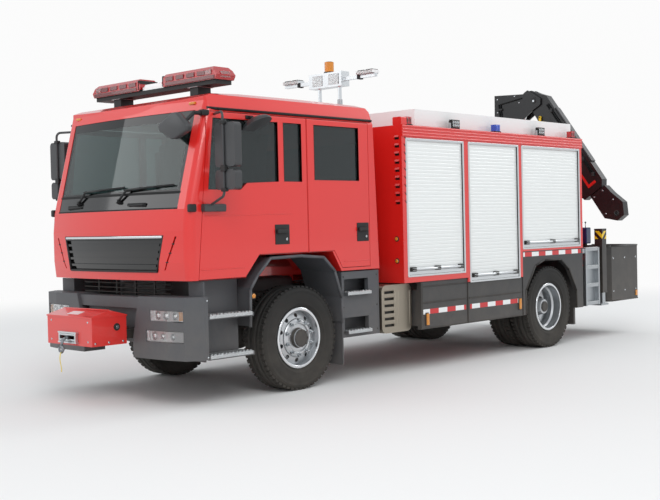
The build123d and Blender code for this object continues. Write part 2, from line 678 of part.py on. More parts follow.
def silencer():
    """Box silencer behind the cab on the left, ribbed, with louvres in its outer face."""
    whole = rounded(block(-1720, -1215, 600, 1130, 452, 975), 70, Axis.Y)
    for i in range(6):
        z = 520 + i * 72
        whole -= block(-1420, -1260, 1110, 1140, z, z + 32)
    return whole + block(-1600, -1350, RAIL_OUTER_Y, 610, 720, 900)


def fuel_tank():
    """Fuel tank behind the cab on the right."""
    tank = rounded(block(-1720, -1215, -1130, -560, 460, 960), 80, Axis.Y)
    tank += Pos(-1330, -1000, 965) * Cylinder(45, 60)
    return tank + block(-1600, -1350, -570, -RAIL_OUTER_Y, 720, 900)


def roof_lamps():
    """Beacons and work lamps along both gutters."""
    pieces = []
    z = BODY_ROOF_Z
    for x in (-1620, -3330, -5080):
        pieces += both(block(x - 45, x + 45, 1160, 1230, z, z + 95))
    for x in (-2500, -4330):
        pieces += both(block(x - 75, x + 75, 1175, 1215, z, z + 110))
    return pieces


def mast_base():
    """The two outer tubes of the light mast and their foot plate."""
    foot = block(MAST_X - 90, MAST_X + 90, -260, 260, BODY_ROOF_Z, BODY_ROOF_Z + 25)
    for side in (1, -1):
        foot += Pos(MAST_X, side * MAST_Y, (MAST_TUBE_Z0 + MAST_TUBE_Z1) / 2) * Cylinder(
            MAST_TUBE_R, MAST_TUBE_Z1 - MAST_TUBE_Z0)
    for side in (1, -1):
        foot -= Pos(MAST_X, side * MAST_Y, (MAST_TUBE_Z0 + MAST_TUBE_Z1) / 2 + 20) * Cylinder(
            MAST_ROD_R + RUNNING_FIT, MAST_TUBE_Z1 - MAST_TUBE_Z0)
    return foot


def mast_head():
    """The sliding part of the mast: two rods, the head box, a cross bar and its lamps."""
    head = block(MAST_X - 70, MAST_X + 70, -270, 250, 3250, 3420)
    head += block(MAST_X - 25, MAST_X + 25, -720, 720, 3310, 3350)
    for side in (1, -1):
        head += bar((MAST_X, side * MAST_Y, MAST_TUBE_Z0 + 45), (MAST_X, side * MAST_Y, 3300), MAST_ROD_R)
        y0, y1 = sorted((side * 470, side * 720))
        head += block(MAST_X - 60, MAST_X + 60, y0, y1, 3350, 3385)
    return head + Pos(MAST_X, 0, 3485) * Cylinder(55, 130)


# Rear end

def rear_ladder(side):
    """Aluminium ladder on the rear corner: two stiles and five treads."""
    x0, x1 = -5715, -5345
    ladder = block(x0, x0 + 35, 1165, 1235, 462, 1250) + block(x1 - 35, x1, 1165, 1235, 462, 1250)
    for i in range(4):
        ladder += block(x0, x1, 1168, 1232, 470 + i * 245, 510 + i * 245)
    ladder += block(x1, BODY_REAR_X, 1175, 1225, 1180, 1240)
    return on_side(ladder, side)


def rear_lockers():
    """Black boxes on both sides of the crane, open on top, joined by the tail beam."""
    box = floor_plate([(-6870, 450), (-6870, 1170), (-6810, 1230), (-6060, 1230), (-6000, 1170), (-6000, 450)],
                      475, 1250)
    box -= block(-6850, -6020, 470, 1165, 560, 1300)
    box += block(-6870, -6000, RAIL_OUTER_Y, 451, 700, 940)
    tail = block(-6870, -6858, -450, 450, 560, 760)
    tail += block(-6870, -6765, -450, 450, 748, 760) + block(-6870, -6790, -450, 450, 560, 572)
    for y in (-TOW_HOLES_Y / 2, TOW_HOLES_Y / 2):
        for z in (660 - TOW_HOLES_Z / 2, 660 + TOW_HOLES_Z / 2):
            tail -= cross_bar(y, z, TOW_HOLE_R, -6900, -6800)
    return [box + flipped(box) + tail]


def rear_post():
    """Frame behind the body: cross beam that houses the stabiliser slides, on the rails."""
    z0, z1 = STAB_BEAM_Z - 75, STAB_BEAM_Z + 75
    tube = block(STAB_X - 85, STAB_X + 85, -1120, 1120, z0, z1)
    tube -= block(STAB_X - 66, STAB_X + 66, -1121, 1121, z0 + 19, z1 - 19)
    for side in (1, -1):
        y0, y1 = sorted((side * 350, side * 422))
        tube += block(STAB_X - 80, STAB_X + 80, y0, y1, RAIL_Z1, z0)
    return tube


def crane_base():
    """Crane pedestal on the frame rails, with the slewing ring's fixed half and the stabiliser beam."""
    base = block(CRANE_X - 300, CRANE_X + 300, -424, 424, RAIL_Z1, 1090)
    base += Pos(CRANE_X, 0, (1090 + SLEW_Z - 6) / 2) * Cylinder(255, SLEW_Z - 6 - 1090)
    link = block(CRANE_X + 290, STAB_X - 80, -300, 300, 985, 1085)
    return base + link + rear_post()


def stabiliser_beam(side):
    """Sliding beam with the jack's outer tube at its end."""
    beam = block(STAB_X - 60, STAB_X + 60, 30, STAB_LEG_Y, STAB_BEAM_Z - 50, STAB_BEAM_Z + 50)
    tube = block(STAB_X - 58, STAB_X + 58, STAB_LEG_Y - 58, STAB_LEG_Y + 58, 620, 1500)
    whole = beam + tube
    whole -= block(STAB_X - 45, STAB_X + 45, STAB_LEG_Y - 45, STAB_LEG_Y + 45, 600, 1480)
    return on_side(whole, side)


def stabiliser_leg(side):
    """The jack's inner tube and its foot plate."""
    leg = block(STAB_X - 40, STAB_X + 40, STAB_LEG_Y - 40, STAB_LEG_Y + 40, 470, 1380)
    leg += block(STAB_X - 100, STAB_X + 100, STAB_LEG_Y - 130, STAB_LEG_Y + 55, 445, 470)
    return on_side(leg, side)


def along(origin, degrees, s, h=0.0):
    """The (y, z) point that lies s along a direction and h to its left from an origin."""
    a = math.radians(degrees)
    return (origin[0] + s * math.cos(a) - h * math.sin(a), origin[1] + s * math.sin(a) + h * math.cos(a))


def outer_point(s, h=0.0):
    return along(KNUCKLE_PIN, OUTER_ANGLE, s, h)


FOLD_EYE = outer_point(-LEVER)


def crane_column():
    """Slewing column: turntable, two cheeks that carry the boom's pin, and the luff cylinder's foot."""
    outline = [(-240, 1415), (300, 1415), (330, 1480), (300, 1560), (120, 1760), (-330, 2290), (-500, 2360),
               (-660, 2330), (-740, 2220), (-740, 2080), (-560, 1860), (-300, 1600)]
    table = Pos(CRANE_X, 0, (SLEW_Z + 1420) / 2) * Cylinder(300, 1420 - SLEW_Z)
    whole = table
    for x in (CHEEK_OUT + 10, -CHEEK_OUT - 45):
        whole += cross_plate(outline, CRANE_X + x, CRANE_X + x + 35)
    span = CHEEK_OUT + 12
    whole += cross_plate([(-240, 1415), (-300, 1600), (-560, 1860), (-535, 1885), (-270, 1620), (-210, 1415)],
                         CRANE_X - span, CRANE_X + span)
    for y, z in (LUFF_PIN, LUFF_FOOT):
        whole += cross_bar(y, z, PIN_R, CRANE_X - span, CRANE_X + span)
    return whole


def inner_boom():
    """Inner boom: two side plates with webs between them, a lug for the luff cylinder and the knuckle's pin."""
    outline = [(-430, 2080), (-400, 2330), (-262, 2400), (-258, 2480), (-390, 2620), (-332, 3165), (-150, 3290),
               (-30, 3360), (-25, 3450), (-150, 3535), (-215, 3570), (-250, 3590), (-290, 3570), (-330, 3540),
               (-842, 3562), (-846, 3250), (-750, 2300), (-690, 2070), (-560, 2000)]
    whole = None
    for x in (CHEEK_IN, -CHEEK_OUT):
        plate = cross_plate(outline, CRANE_X + x, CRANE_X + x + CHEEK_OUT - CHEEK_IN)
        whole = plate if whole is None else whole + plate
    gap = CHEEK_IN + 2
    webs = [[(-842, 3562), (-842, 3535), (-420, 3518), (-420, 3545)],
            [(-846, 3250), (-842, 3562), (-815, 3562), (-820, 3250), (-774, 2790), (-800, 2780)],
            [(-388, 2640), (-370, 2810), (-395, 2812), (-413, 2640)]]
    for web in webs:
        whole += cross_plate(web, CRANE_X - gap, CRANE_X + gap)
    y, z = FOLD_FOOT
    whole += cross_bar(y, z, PIN_R, CRANE_X - gap, CRANE_X + gap)
    # The knuckle turns on two stub pins, which leave room between them for the fold cylinder's eye.
    y, z = KNUCKLE_PIN
    for x0, x1 in ((FORK_HALF, gap), (-gap, -FORK_HALF)):
        whole += cross_bar(y, z, PIN_R, CRANE_X + x0, CRANE_X + x1)
    for y, z in (LUFF_PIN, LUFF_EYE):
        whole -= cross_bar(y, z, PIN_R + RUNNING_FIT, CRANE_X - 150, CRANE_X + 150)
    return whole


def outer_boom():
    """Outer boom: a deep box that the extension slides in, with a forked lever behind the knuckle."""
    outline = [(-170, -42), (-170, 42), (-60, 110), (60, 200), (1620, 210), (1700, 150), (1700, -190),
               (1450, -270), (600, -140), (0, -120)]
    points = [outer_point(s, h) for s, h in outline]
    whole = cross_plate(points, CRANE_X - OUTER_HALF, CRANE_X + OUTER_HALF)
    hollow = [outer_point(s, h) for s, h in ((300, -96), (300, 96), (1701, 96), (1701, -96))]
    whole -= cross_plate(hollow, CRANE_X - EXTENSION_HALF - 6, CRANE_X + EXTENSION_HALF + 6)
    fork = [outer_point(s, h) for s, h in ((-180, 120), (6, 80), (6, -60), (-20, -130), (-180, -130))]
    whole -= cross_plate(fork, CRANE_X - FORK_HALF, CRANE_X + FORK_HALF)
    for y, z in (KNUCKLE_PIN, FOLD_EYE):
        whole -= cross_bar(y, z, PIN_R + RUNNING_FIT, CRANE_X - 150, CRANE_X + 150)
    return whole


def boom_extension():
    """Extension: the sliding box, its head and the hook lug."""
    bar_points = [outer_point(s, h) for s, h in ((420, -90), (420, 90), (2080, 90), (2080, -90))]
    whole = cross_plate(bar_points, CRANE_X - EXTENSION_HALF, CRANE_X + EXTENSION_HALF)
    whole -= cross_plate([outer_point(s, h) for s, h in ((400, -78), (400, 78), (1700, 78), (1700, -78))],
                         CRANE_X - EXTENSION_HALF + 10, CRANE_X + EXTENSION_HALF - 10)
    head = [(1715, -85), (1715, 190), (1860, 215), (2075, 280), (2240, 190), (2245, 60), (2100, -85)]
    points = [outer_point(s, h) for s, h in head]
    whole += cross_plate(points, CRANE_X - 68, CRANE_X + 68)
    y, z = outer_point(*HOOK_PIN)
    return whole - cross_bar(y, z, HOOK_PIN_R, CRANE_X - 80, CRANE_X + 80)


def cylinder_barrel(foot, eye, length, radius):
    """A hydraulic barrel: its eye on the foot pin, and the bored tube."""
    angle = math.degrees(math.atan2(eye[1] - foot[1], eye[0] - foot[0]))
    tip = along(foot, angle, length)
    start = along(foot, angle, 30)
    whole = cross_bar(*foot, EYE_R, CRANE_X - EYE_HALF, CRANE_X + EYE_HALF)
    whole += bar((CRANE_X, *start), (CRANE_X, *tip), radius)
    whole -= cross_bar(*foot, PIN_R + RUNNING_FIT, CRANE_X - 60, CRANE_X + 60)
    bore = along(foot, angle, 75)
    beyond = along(foot, angle, length + 5)
    return whole - bar((CRANE_X, *bore), (CRANE_X, *beyond), radius * 0.55 + RUNNING_FIT)


def cylinder_rod(foot, eye, closed, radius, pin_half):
    """The rod, reaching down its barrel, with its eye and the pin that is fast in the eye."""
    angle = math.degrees(math.atan2(eye[1] - foot[1], eye[0] - foot[0]))
    length = math.hypot(eye[0] - foot[0], eye[1] - foot[1])
    inner_end = along(foot, angle, length - closed)
    outer_end = along(foot, angle, length - 30)
    whole = bar((CRANE_X, *inner_end), (CRANE_X, *outer_end), radius * 0.55)
    whole += cross_bar(*eye, EYE_R, CRANE_X - EYE_HALF, CRANE_X + EYE_HALF)
    return whole + cross_bar(*eye, PIN_R, CRANE_X - pin_half, CRANE_X + pin_half)


# Winch

def winch_box():
    """Folded steel box round the winch, open on top and at the rope's window, with the drum inside."""
    box = block(WINCH_X0, WINCH_X1, -WINCH_HALF, WINCH_HALF, WINCH_Z0, WINCH_Z1)
    box -= block(WINCH_X0 + 12, WINCH_X1 - 12, -WINCH_HALF + 12, WINCH_HALF - 12, WINCH_Z0 + 12, WINCH_Z1 + 10)
    box -= block(WINCH_X1 - 20, WINCH_X1 + 10, -130, 130, 610, 690)
    box += block(WINCH_X1, WINCH_X1 + 30, -150, 150, 598, 612) + block(WINCH_X1, WINCH_X1 + 30, -150, 150, 690, 704)
    drum = bar((1772, -200, 700), (1772, 200, 700), 62)
    drum += bar((1772, -354, 700), (1772, -180, 700), 88) + bar((1772, 180, 700), (1772, 354, 700), 88)
    return box + drum


def winch_lid():
    """Ridged lid, hinged along its rear edge."""
    x0, x1 = WINCH_X0 - 6, WINCH_X1 + 6
    ridge = (x0 + x1) / 2
    z = WINCH_Z1 + 0.5
    outline = [(x0, z), (x0, z + 12), (ridge, z + 66), (x1, z + 12), (x1, z)]
    lid = side_plate(outline, -WINCH_HALF - 6, WINCH_HALF + 6)
    hollow = [(x0 + 8, z - 1), (x0 + 8, z + 5), (ridge, z + 56), (x1 - 8, z + 5), (x1 - 8, z - 1)]
    return lid - side_plate(hollow, -WINCH_HALF + 2, WINCH_HALF - 2)


def winch_hook():
    """Fairlead rollers and the hook that hangs ready in front of the window."""
    x = WINCH_X1 + 15
    rollers = bar((x, -120, 625), (x, 120, 625), 12) + bar((x, -120, 677), (x, 120, 677), 12)
    rollers += block(x - 13, x + 13, -140, -120, 612.5, 689.5) + block(x - 13, x + 13, 120, 140, 612.5, 689.5)
    return rollers


save("frame_rails", frame_rails())
save("front_axle", front_axle())
save("rear_axle", rear_axle())
save("engine_and_driveline", engine_block(), *driveline())
save("cab_shell", cab_shell())
save("cab_glass", cab_glass())
save("cab_interior", *cab_interior())
save("grille", grille(), scuttle())
save("bumper", bumper())
save("front_lamps", *front_lamps())
save("front_fenders", *front_fenders())
save("warning_lamps", *light_bar(), *roof_lamps())
save("body_shell", body_shell())
save("side_skirts", *side_skirts())
save("silencer_and_tank", silencer(), fuel_tank())
save("roof_deck", roof_parapet(), mast_base())
save("mast_head", mast_head())
save("rear_ladders", rear_ladder(1), rear_ladder(-1))
save("rear_lockers", *rear_lockers())
save("crane_base", crane_base())
save("crane_column", crane_column())
save("inner_boom", inner_boom())
save("outer_boom", outer_boom())
save("boom_extension", boom_extension())
save("luff_barrel", cylinder_barrel(LUFF_FOOT, LUFF_EYE, 640, 58))
save("luff_rod", cylinder_rod(LUFF_FOOT, LUFF_EYE, 560, 58, CHEEK_IN - 3))
save("fold_barrel", cylinder_barrel(FOLD_FOOT, FOLD_EYE, 720, 48))
save("fold_rod", cylinder_rod(FOLD_FOOT, FOLD_EYE, 560, 48, FORK_HALF - 3))
save("winch_box", winch_box(), winch_hook())
save("winch_lid", winch_lid())

for name, side in SIDES.items():
    save(f"knuckle_{name}", knuckle(side))
    save(f"tyre_front_{name}", tyre(0, side * FRONT_TRACK_Y))
    save(f"rim_front_{name}", front_rim(side))
    save(f"tyres_rear_{name}", tyre(REAR_X, side * DUAL_OUTER_Y), tyre(REAR_X, side * DUAL_INNER_Y))
    save(f"rims_rear_{name}", rear_rims(side))
    save(f"door_front_{name}", door(side, FRONT_DOOR, (FRONT_WINDOW, QUARTER_WINDOW)))
    save(f"door_rear_{name}", door(side, REAR_DOOR, (REAR_WINDOW,)))
    save(f"glass_front_{name}", *door_glass(side, (FRONT_WINDOW, QUARTER_WINDOW)))
    save(f"glass_rear_{name}", *door_glass(side, (REAR_WINDOW,)))
    save(f"mirrors_{name}", mirror_set(side))
    save(f"stabiliser_beam_{name}", stabiliser_beam(side))
    save(f"stabiliser_leg_{name}", stabiliser_leg(side))
    for number in SHUTTERS:
        save(f"shutter_{name}_{number}", shutter(number, side))
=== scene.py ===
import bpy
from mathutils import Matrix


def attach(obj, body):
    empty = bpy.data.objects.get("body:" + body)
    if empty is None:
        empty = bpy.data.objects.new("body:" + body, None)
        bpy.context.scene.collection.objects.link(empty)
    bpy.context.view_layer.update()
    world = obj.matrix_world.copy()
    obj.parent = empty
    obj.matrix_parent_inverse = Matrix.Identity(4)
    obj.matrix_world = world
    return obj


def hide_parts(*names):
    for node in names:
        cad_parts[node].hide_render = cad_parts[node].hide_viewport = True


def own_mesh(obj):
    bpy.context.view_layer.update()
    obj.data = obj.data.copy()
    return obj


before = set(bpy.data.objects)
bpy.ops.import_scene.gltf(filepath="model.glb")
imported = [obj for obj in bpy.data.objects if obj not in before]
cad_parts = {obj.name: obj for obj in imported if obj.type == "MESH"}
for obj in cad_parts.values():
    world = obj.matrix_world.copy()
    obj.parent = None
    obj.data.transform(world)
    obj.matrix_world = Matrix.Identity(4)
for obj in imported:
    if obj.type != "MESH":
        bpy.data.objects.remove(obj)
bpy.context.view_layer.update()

import math

import bmesh
import bpy
from bpy.props import FloatProperty, FloatVectorProperty, IntProperty, PointerProperty
from mathutils import Matrix, Vector

bl_info = {
    "name": "Airport rescue truck",
    "version": (1, 0, 0),
    "blender": (4, 5, 0),
    "location": "3D View > Sidebar > Rescue Truck",
    "description": "Dresses the packed rescue truck: paint, tyres, shutters, lamps, trim, crane and winch",
    "category": "Object",
}

# Stations are in metres from the front axle; the truck's own origin lies this far behind it.
FRONT_AXLE_X = 2.440
REAR_AXLE_X = -4.425
WHEEL_Z = 0.522
CRANE_X = -6.400
BODY_SIDE = 1.250
CAB_SIDE = 1.120
SIDES = {"left": 1, "right": -1}
# Each shutter's rear edge, front edge, sill and travel
SHUTTERS = {1: (-2.590, -1.530, 1.070, 1.30), 2: (-3.730, -2.680, 0.950, 1.42), 3: (-5.190, -3.800, 1.300,
                                                                                    1.07)}
SHUTTER_TOP = 2.553
# Brightness of the white behind the truck, just under full
BACKDROP = 0.97


def row(x, y, z):
    """A point measured from the front axle, in the truck's own frame."""
    return Vector((x + FRONT_AXLE_X, y, z))


# Finishes

def linear(colour):
    """An sRGB hex colour as linear red, green, blue and alpha."""
    parts = [int(colour[i:i + 2], 16) / 255 for i in (1, 3, 5)]
    return [c / 12.92 if c <= 0.04045 else ((c + 0.055) / 1.055) ** 2.4 for c in parts] + [1.0]


def add(material, kind, sockets=None, **settings):
    """Add one node, with its settings and with values or links for its sockets."""
    made = material.node_tree.nodes.new(kind)
    for key, value in settings.items():
        setattr(made, key, value)
    for key, value in (sockets or {}).items():
        if isinstance(value, bpy.types.NodeSocket):
            material.node_tree.links.new(value, made.inputs[key])
        else:
            made.inputs[key].default_value = value
    return made


def finish(name, colour, roughness, **even):
    """A named finish: a Principled shader whose even values stand on its own sockets."""
    made = bpy.data.materials.new(name)
    made.use_nodes = True
    shader = made.node_tree.nodes["Principled BSDF"]
    shader.inputs["Base Color"].default_value = linear(colour)
    shader.inputs["Roughness"].default_value = roughness
    for key, value in even.items():
        shader.inputs[key.replace("_", " ")].default_value = value
    place = add(made, "ShaderNodeTexCoord").outputs["Object"]
    return made, shader, place


def link(material, source, target):
    material.node_tree.links.new(source, target)


def relief(material, shader, height, distance, strength, **settings):
    """Bump of a real height, in metres, from one node's output."""
    bump = add(material, "ShaderNodeBump", {"Height": height, "Distance": distance, "Strength": strength},
               **settings)
    link(material, bump.outputs["Normal"], shader.inputs["Normal"])


def blend(material, share, first, second):
    """A colour between two hex colours, by a share from 0 to 1."""
    mixed = add(material, "ShaderNodeMix", {"Factor": share}, data_type="RGBA")
    ends = [socket for socket in mixed.inputs if socket.type == "RGBA"]
    ends[0].default_value = linear(first)
    ends[1].default_value = linear(second)
    return next(socket for socket in mixed.outputs if socket.type == "RGBA")


def reckon(material, operation, *values, **settings):
    """The result of one sum on numbers or sockets."""
    return add(material, "ShaderNodeMath", dict(enumerate(values)), operation=operation,
               **settings).outputs["Value"]


def grain(material, shader, place, size_mm, height_mm, strength=1.0, detail=3.0):
    """Fine relief of a real size on the whole surface."""
    noise = add(material, "ShaderNodeTexNoise",
                {"Vector": place, "Scale": 1000.0 / size_mm, "Detail": detail, "Roughness": 0.6})
    relief(material, shader, noise.outputs["Fac"], height_mm / 1000, strength)


def road_dust(material, shader, place, clean, dust="#8B8074", low=0.35, high=1.25, most=0.35):
    """Colour that is clean above and takes on patches of road dust towards the wheels."""
    height = add(material, "ShaderNodeSeparateXYZ", {"Vector": place}).outputs["Z"]
    near_road = add(material, "ShaderNodeMapRange",
                    {"Value": height, "From Min": low, "From Max": high, "To Min": most, "To Max": 0.0})
    patches = add(material, "ShaderNodeTexNoise", {"Vector": place, "Scale": 5.0, "Detail": 6.0,
                                                   "Roughness": 0.7})
    share = reckon(material, "MULTIPLY", near_road.outputs["Result"], patches.outputs["Fac"])
    link(material, blend(material, share, clean, dust), shader.inputs["Base Color"])


def vehicle_enamel(name, colour):
    """Two-pack polyurethane enamel, sprayed: deep colour under a clear gloss, with a trace of orange peel."""
    made, shader, place = finish(name, colour, 0.32, Coat_Weight=0.75, Coat_Roughness=0.06)
    grain(made, shader, place, 14, 0.05, 0.35, 1.0)
    road_dust(made, shader, place, colour, most=0.22)
    return made


def chassis_enamel(name, colour, roughness=0.42):
    """Black chassis enamel, sprayed over cast and folded steel: half gloss, uneven, dulled by dust."""
    made, shader, place = finish(name, colour, roughness, Specular_IOR_Level=0.5)
    grain(made, shader, place, 9, 0.2, 0.5)
    road_dust(made, shader, place, colour, high=1.9, most=0.4)
    return made


def moulded_plastic(name, colour, roughness=0.5):
    """Polypropylene moulded in a grained tool: an even, dull, leathery skin."""
    made, shader, place = finish(name, colour, roughness)
    grain(made, shader, place, 5, 0.25, 0.6)
    road_dust(made, shader, place, colour, high=1.4, most=0.4)
    return made


def gloss_plastic(name, colour):
    """ABS in a polished tool: near mirror gloss with very faint waves."""
    made, shader, place = finish(name, colour, 0.12, Coat_Weight=0.4, Coat_Roughness=0.05)
    grain(made, shader, place, 60, 0.1, 0.3, 0.0)
    return made


def rubber(name, colour, roughness=0.72):
    """Vulcanised rubber: soft black with a grey bloom that dust makes lighter."""
    made, shader, place = finish(name, colour, roughness, Specular_IOR_Level=0.35)
    grain(made, shader, place, 7, 0.3, 0.6)
    road_dust(made, shader, place, colour, dust="#6E675E", low=0.0, high=1.1, most=0.6)
    return made


def window_glass(name, tint):
    """Toughened float glass with a green-grey tint in its body."""
    return finish(name, tint, 0.02, IOR=1.5, Transmission_Weight=0.92)[0]


def lens_plastic(name, colour, clear=0.55):
    """Polycarbonate lens: coloured through, glossy, with moulded flutes behind its face."""
    made, shader, place = finish(name, colour, 0.08, IOR=1.58, Transmission_Weight=clear, Coat_Weight=0.5)
    flutes = add(made, "ShaderNodeTexWave", {"Vector": place, "Scale": 24.0, "Distortion": 0.0},
                 wave_type="BANDS", bands_direction="Y")
    relief(made, shader, flutes.outputs["Fac"], 0.0015, 0.5)
    return made


def brushed_metal(name, colour, roughness=0.32, scratch_mm=1.2):
    """Rolled and brushed metal: bright, with long fine scratches along its length."""
    made, shader, place = finish(name, colour, roughness, Metallic=1.0)
    stretched = add(made, "ShaderNodeMapping", {"Vector": place, "Scale": (0.04, 1.0, 1.0)})
    scratches = add(made, "ShaderNodeTexNoise", {"Vector": stretched.outputs["Vector"],
                                                 "Scale": 1000 / scratch_mm / 6, "Detail": 2.0})
    rough = add(made, "ShaderNodeMapRange", {"Value": scratches.outputs["Fac"], "To Min": roughness - 0.08,
                                             "To Max": roughness + 0.14})
    link(made, rough.outputs["Result"], shader.inputs["Roughness"])
    relief(made, shader, scratches.outputs["Fac"], 0.0002, 0.5)
    return made


def plain_metal(name, colour, roughness, size_mm=20, height_mm=0.05):
    """Polished, plated or cast metal: its roughness and its fine relief tell which."""
    made, shader, place = finish(name, colour, roughness, Metallic=1.0)
    grain(made, shader, place, size_mm, height_mm, 0.5)
    return made


def seat_cloth(name, colour):
    """Woven polyester seat cloth: a plain weave, drawn at 6 mm so that it still shows."""
    made, shader, place = finish(name, colour, 0.9, Sheen_Weight=0.4)
    warp = add(made, "ShaderNodeTexWave", {"Vector": place, "Scale": 26.0}, wave_type="BANDS",
               bands_direction="Y")
    weft = add(made, "ShaderNodeTexWave", {"Vector": place, "Scale": 26.0}, wave_type="BANDS",
               bands_direction="Z")
    relief(made, shader, reckon(made, "MULTIPLY", warp.outputs["Fac"], weft.outputs["Fac"]), 0.0006, 0.8)
    return made


def striped(name, first, second, block_mm, roughness, lean=0.0):
    """Retroreflective sheeting in blocks of two colours, or a warning band whose blocks lean."""
    made, shader, place = finish(name, first, roughness, Coat_Weight=0.3, Coat_Roughness=0.2)
    split = add(made, "ShaderNodeSeparateXYZ", {"Vector": place}).outputs
    along = reckon(made, "ADD", split["X"], reckon(made, "MULTIPLY", split["Z"], lean))
    across = reckon(made, "ADD", along, split["Y"])
    wrapped = reckon(made, "FLOORED_MODULO", across, 2 * block_mm / 1000)
    second_block = reckon(made, "GREATER_THAN", wrapped, block_mm / 1000)
    link(made, blend(made, second_block, first, second), shader.inputs["Base Color"])
    cells = add(made, "ShaderNodeTexVoronoi", {"Vector": place, "Scale": 260.0})
    relief(made, shader, cells.outputs["Distance"], 0.0003, 0.3)
    return made


def windscreen_glass(name):
    """Laminated windscreen: tinted glass with a black printed border that hides its bonding."""
    tint = "#6F8583"
    made, shader, place = finish(name, tint, 0.02, IOR=1.5)
    split = add(made, "ShaderNodeSeparateXYZ", {"Vector": place}).outputs
    at_side = reckon(made, "GREATER_THAN", reckon(made, "ABSOLUTE", split["Y"]), 0.925)
    at_top = reckon(made, "GREATER_THAN", split["Z"], 2.645)
    at_foot = reckon(made, "LESS_THAN", split["Z"], 2.005)
    border = reckon(made, "MAXIMUM", reckon(made, "MAXIMUM", at_side, at_top), at_foot)
    link(made, blend(made, border, tint, "#0B0C0D"), shader.inputs["Base Color"])
    clear = reckon(made, "SUBTRACT", 0.94, border, use_clamp=True)
    link(made, clear, shader.inputs["Transmission Weight"])
    return made


def step_sheet(name, colour):
    """Galvanised step plate with raised, punched teeth about 12 mm across."""
    made, shader, place = finish(name, colour, 0.38, Metallic=0.9)
    teeth = add(made, "ShaderNodeTexVoronoi", {"Vector": place, "Scale": 1000 / 14}, feature="F1")
    relief(made, shader, teeth.outputs["Distance"], 0.006, 1.0, invert=True)
    return made


def all_finishes(props):
    """Every finish on the truck, by the name that the pieces ask for."""
    red = "#%02X%02X%02X" % tuple(round(255 * c) for c in props.truck_red)
    grey = "#%02X%02X%02X" % tuple(round(255 * c) for c in props.plastic_grey)
    return {
        "red": vehicle_enamel("red_two_pack_enamel", red),
        "grey": moulded_plastic("grained_grey_polypropylene", grey),
        "panel": moulded_plastic("dark_grey_skirt_coating", "#2E3033", 0.45),
        "chassis": chassis_enamel("black_chassis_enamel", "#1B1C1E"),
        "iron": chassis_enamel("painted_cast_iron", "#2A2B2C", 0.6),
        "crane": chassis_enamel("black_crane_enamel", "#18191B", 0.34),
        "side_glass": window_glass("tinted_side_glass", "#5F6E6F"),
        "windscreen": windscreen_glass("laminated_windscreen"),
        "cloth": seat_cloth("woven_seat_cloth", "#2A2D33"),
        "gloss_black": gloss_plastic("gloss_black_abs", "#0C0C0D"),
        "matt_black": moulded_plastic("black_nylon", "#161718", 0.55),
        "mirror_shell": moulded_plastic("mirror_shell_abs", "#3B3C3E", 0.4),
        "mirror_glass": plain_metal("silvered_mirror_glass", "#DDE2E4", 0.03, 200, 0.01),
        "seal": rubber("epdm_window_seal", "#101112", 0.6),
        "tyre": rubber("truck_tyre_rubber", "#1A1A1A"),
        "wheel": plain_metal("silver_wheel_lacquer", "#C9CBCD", 0.34, 12, 0.1),
        "nut": plain_metal("zinc_plated_nuts", "#B9BDC0", 0.25),
        "chrome": plain_metal("hard_chrome", "#E4E6E8", 0.08, 80, 0.01),
        "bright": brushed_metal("bright_rolled_aluminium", "#D5D8DA", 0.3),
        "aluminium": brushed_metal("mill_finish_aluminium", "#B4B8BB", 0.38),
        "stainless": plain_metal("dull_stainless_sheet", "#A79E90", 0.42, 30, 0.3),
        "slat": vehicle_enamel("white_anodised_slat", "#E9ECEB"),
        "step": step_sheet("punched_galvanised_step", "#C8CBCC"),
        "clear": lens_plastic("clear_polycarbonate", "#F4F6F6", 0.9),
        "red_lens": lens_plastic("red_beacon_polycarbonate", "#D0131B", 0.35),
        "dark_lens": lens_plastic("deep_red_polycarbonate", "#6E0A12", 0.2),
        "blue_lens": lens_plastic("blue_beacon_polycarbonate", "#1F55D8", 0.35),
        "amber": lens_plastic("amber_polycarbonate", "#F39A1E", 0.3),
        "white": gloss_plastic("white_abs", "#ECEEEE"),
        "yellow": chassis_enamel("yellow_lifting_enamel", "#E4BE1E", 0.4),
        "blue_box": gloss_plastic("dark_blue_control_box", "#1C2C5C"),
        "tape": striped("red_white_reflective_tape", "#C9161C", "#EDEFEF", 160, 0.35),
        "hazard": striped("yellow_black_warning_tape", "#E8C21F", "#141414", 60, 0.4, 1.0),
        "strap": seat_cloth("yellow_polyester_webbing", "#E3C53A"),
        "rope": plain_metal("galvanised_wire_rope", "#8E9296", 0.4, 3, 0.8),
        "engine": chassis_enamel("engine_block_enamel", "#55585A", 0.5),
    }


# The finish of each CAD node that keeps its own shape.
NODE_FINISH = {
    "frame_rails": "chassis", "front_axle": "iron", "rear_axle": "iron", "engine_and_driveline": "engine",
    "cab_shell": "red", "cab_glass": "windscreen", "cab_interior": "cloth", "grille": "gloss_black",
    "bumper": "grey", "front_lamps": "gloss_black", "front_fenders": "grey", "warning_lamps": "red_lens",
    "body_shell": "red", "roof_deck": "aluminium", "side_skirts": "panel", "silencer_and_tank": "stainless",
    "rear_ladders": "aluminium", "rear_lockers": "crane", "crane_base": "crane", "winch_box": "red",
    "winch_lid": "red", "mast_head": "aluminium", "crane_column": "crane", "inner_boom": "crane",
    "outer_boom": "crane", "boom_extension": "crane", "luff_barrel": "crane", "fold_barrel": "crane",
    "luff_rod": "chrome", "fold_rod": "chrome",
}
SIDE_FINISH = {
    "knuckle": "iron", "tyre_front": "tyre", "rim_front": "wheel", "tyres_rear": "tyre", "rims_rear": "wheel",
    "door_front": "red", "door_rear": "red", "glass_front": "side_glass", "glass_rear": "side_glass",
    "mirrors": "mirror_shell", "stabiliser_beam": "crane", "stabiliser_leg": "aluminium",
}


def paint(name):
    """The finish that one of the pieces asks for."""
    return bpy.data.materials[FINISHES[name]]


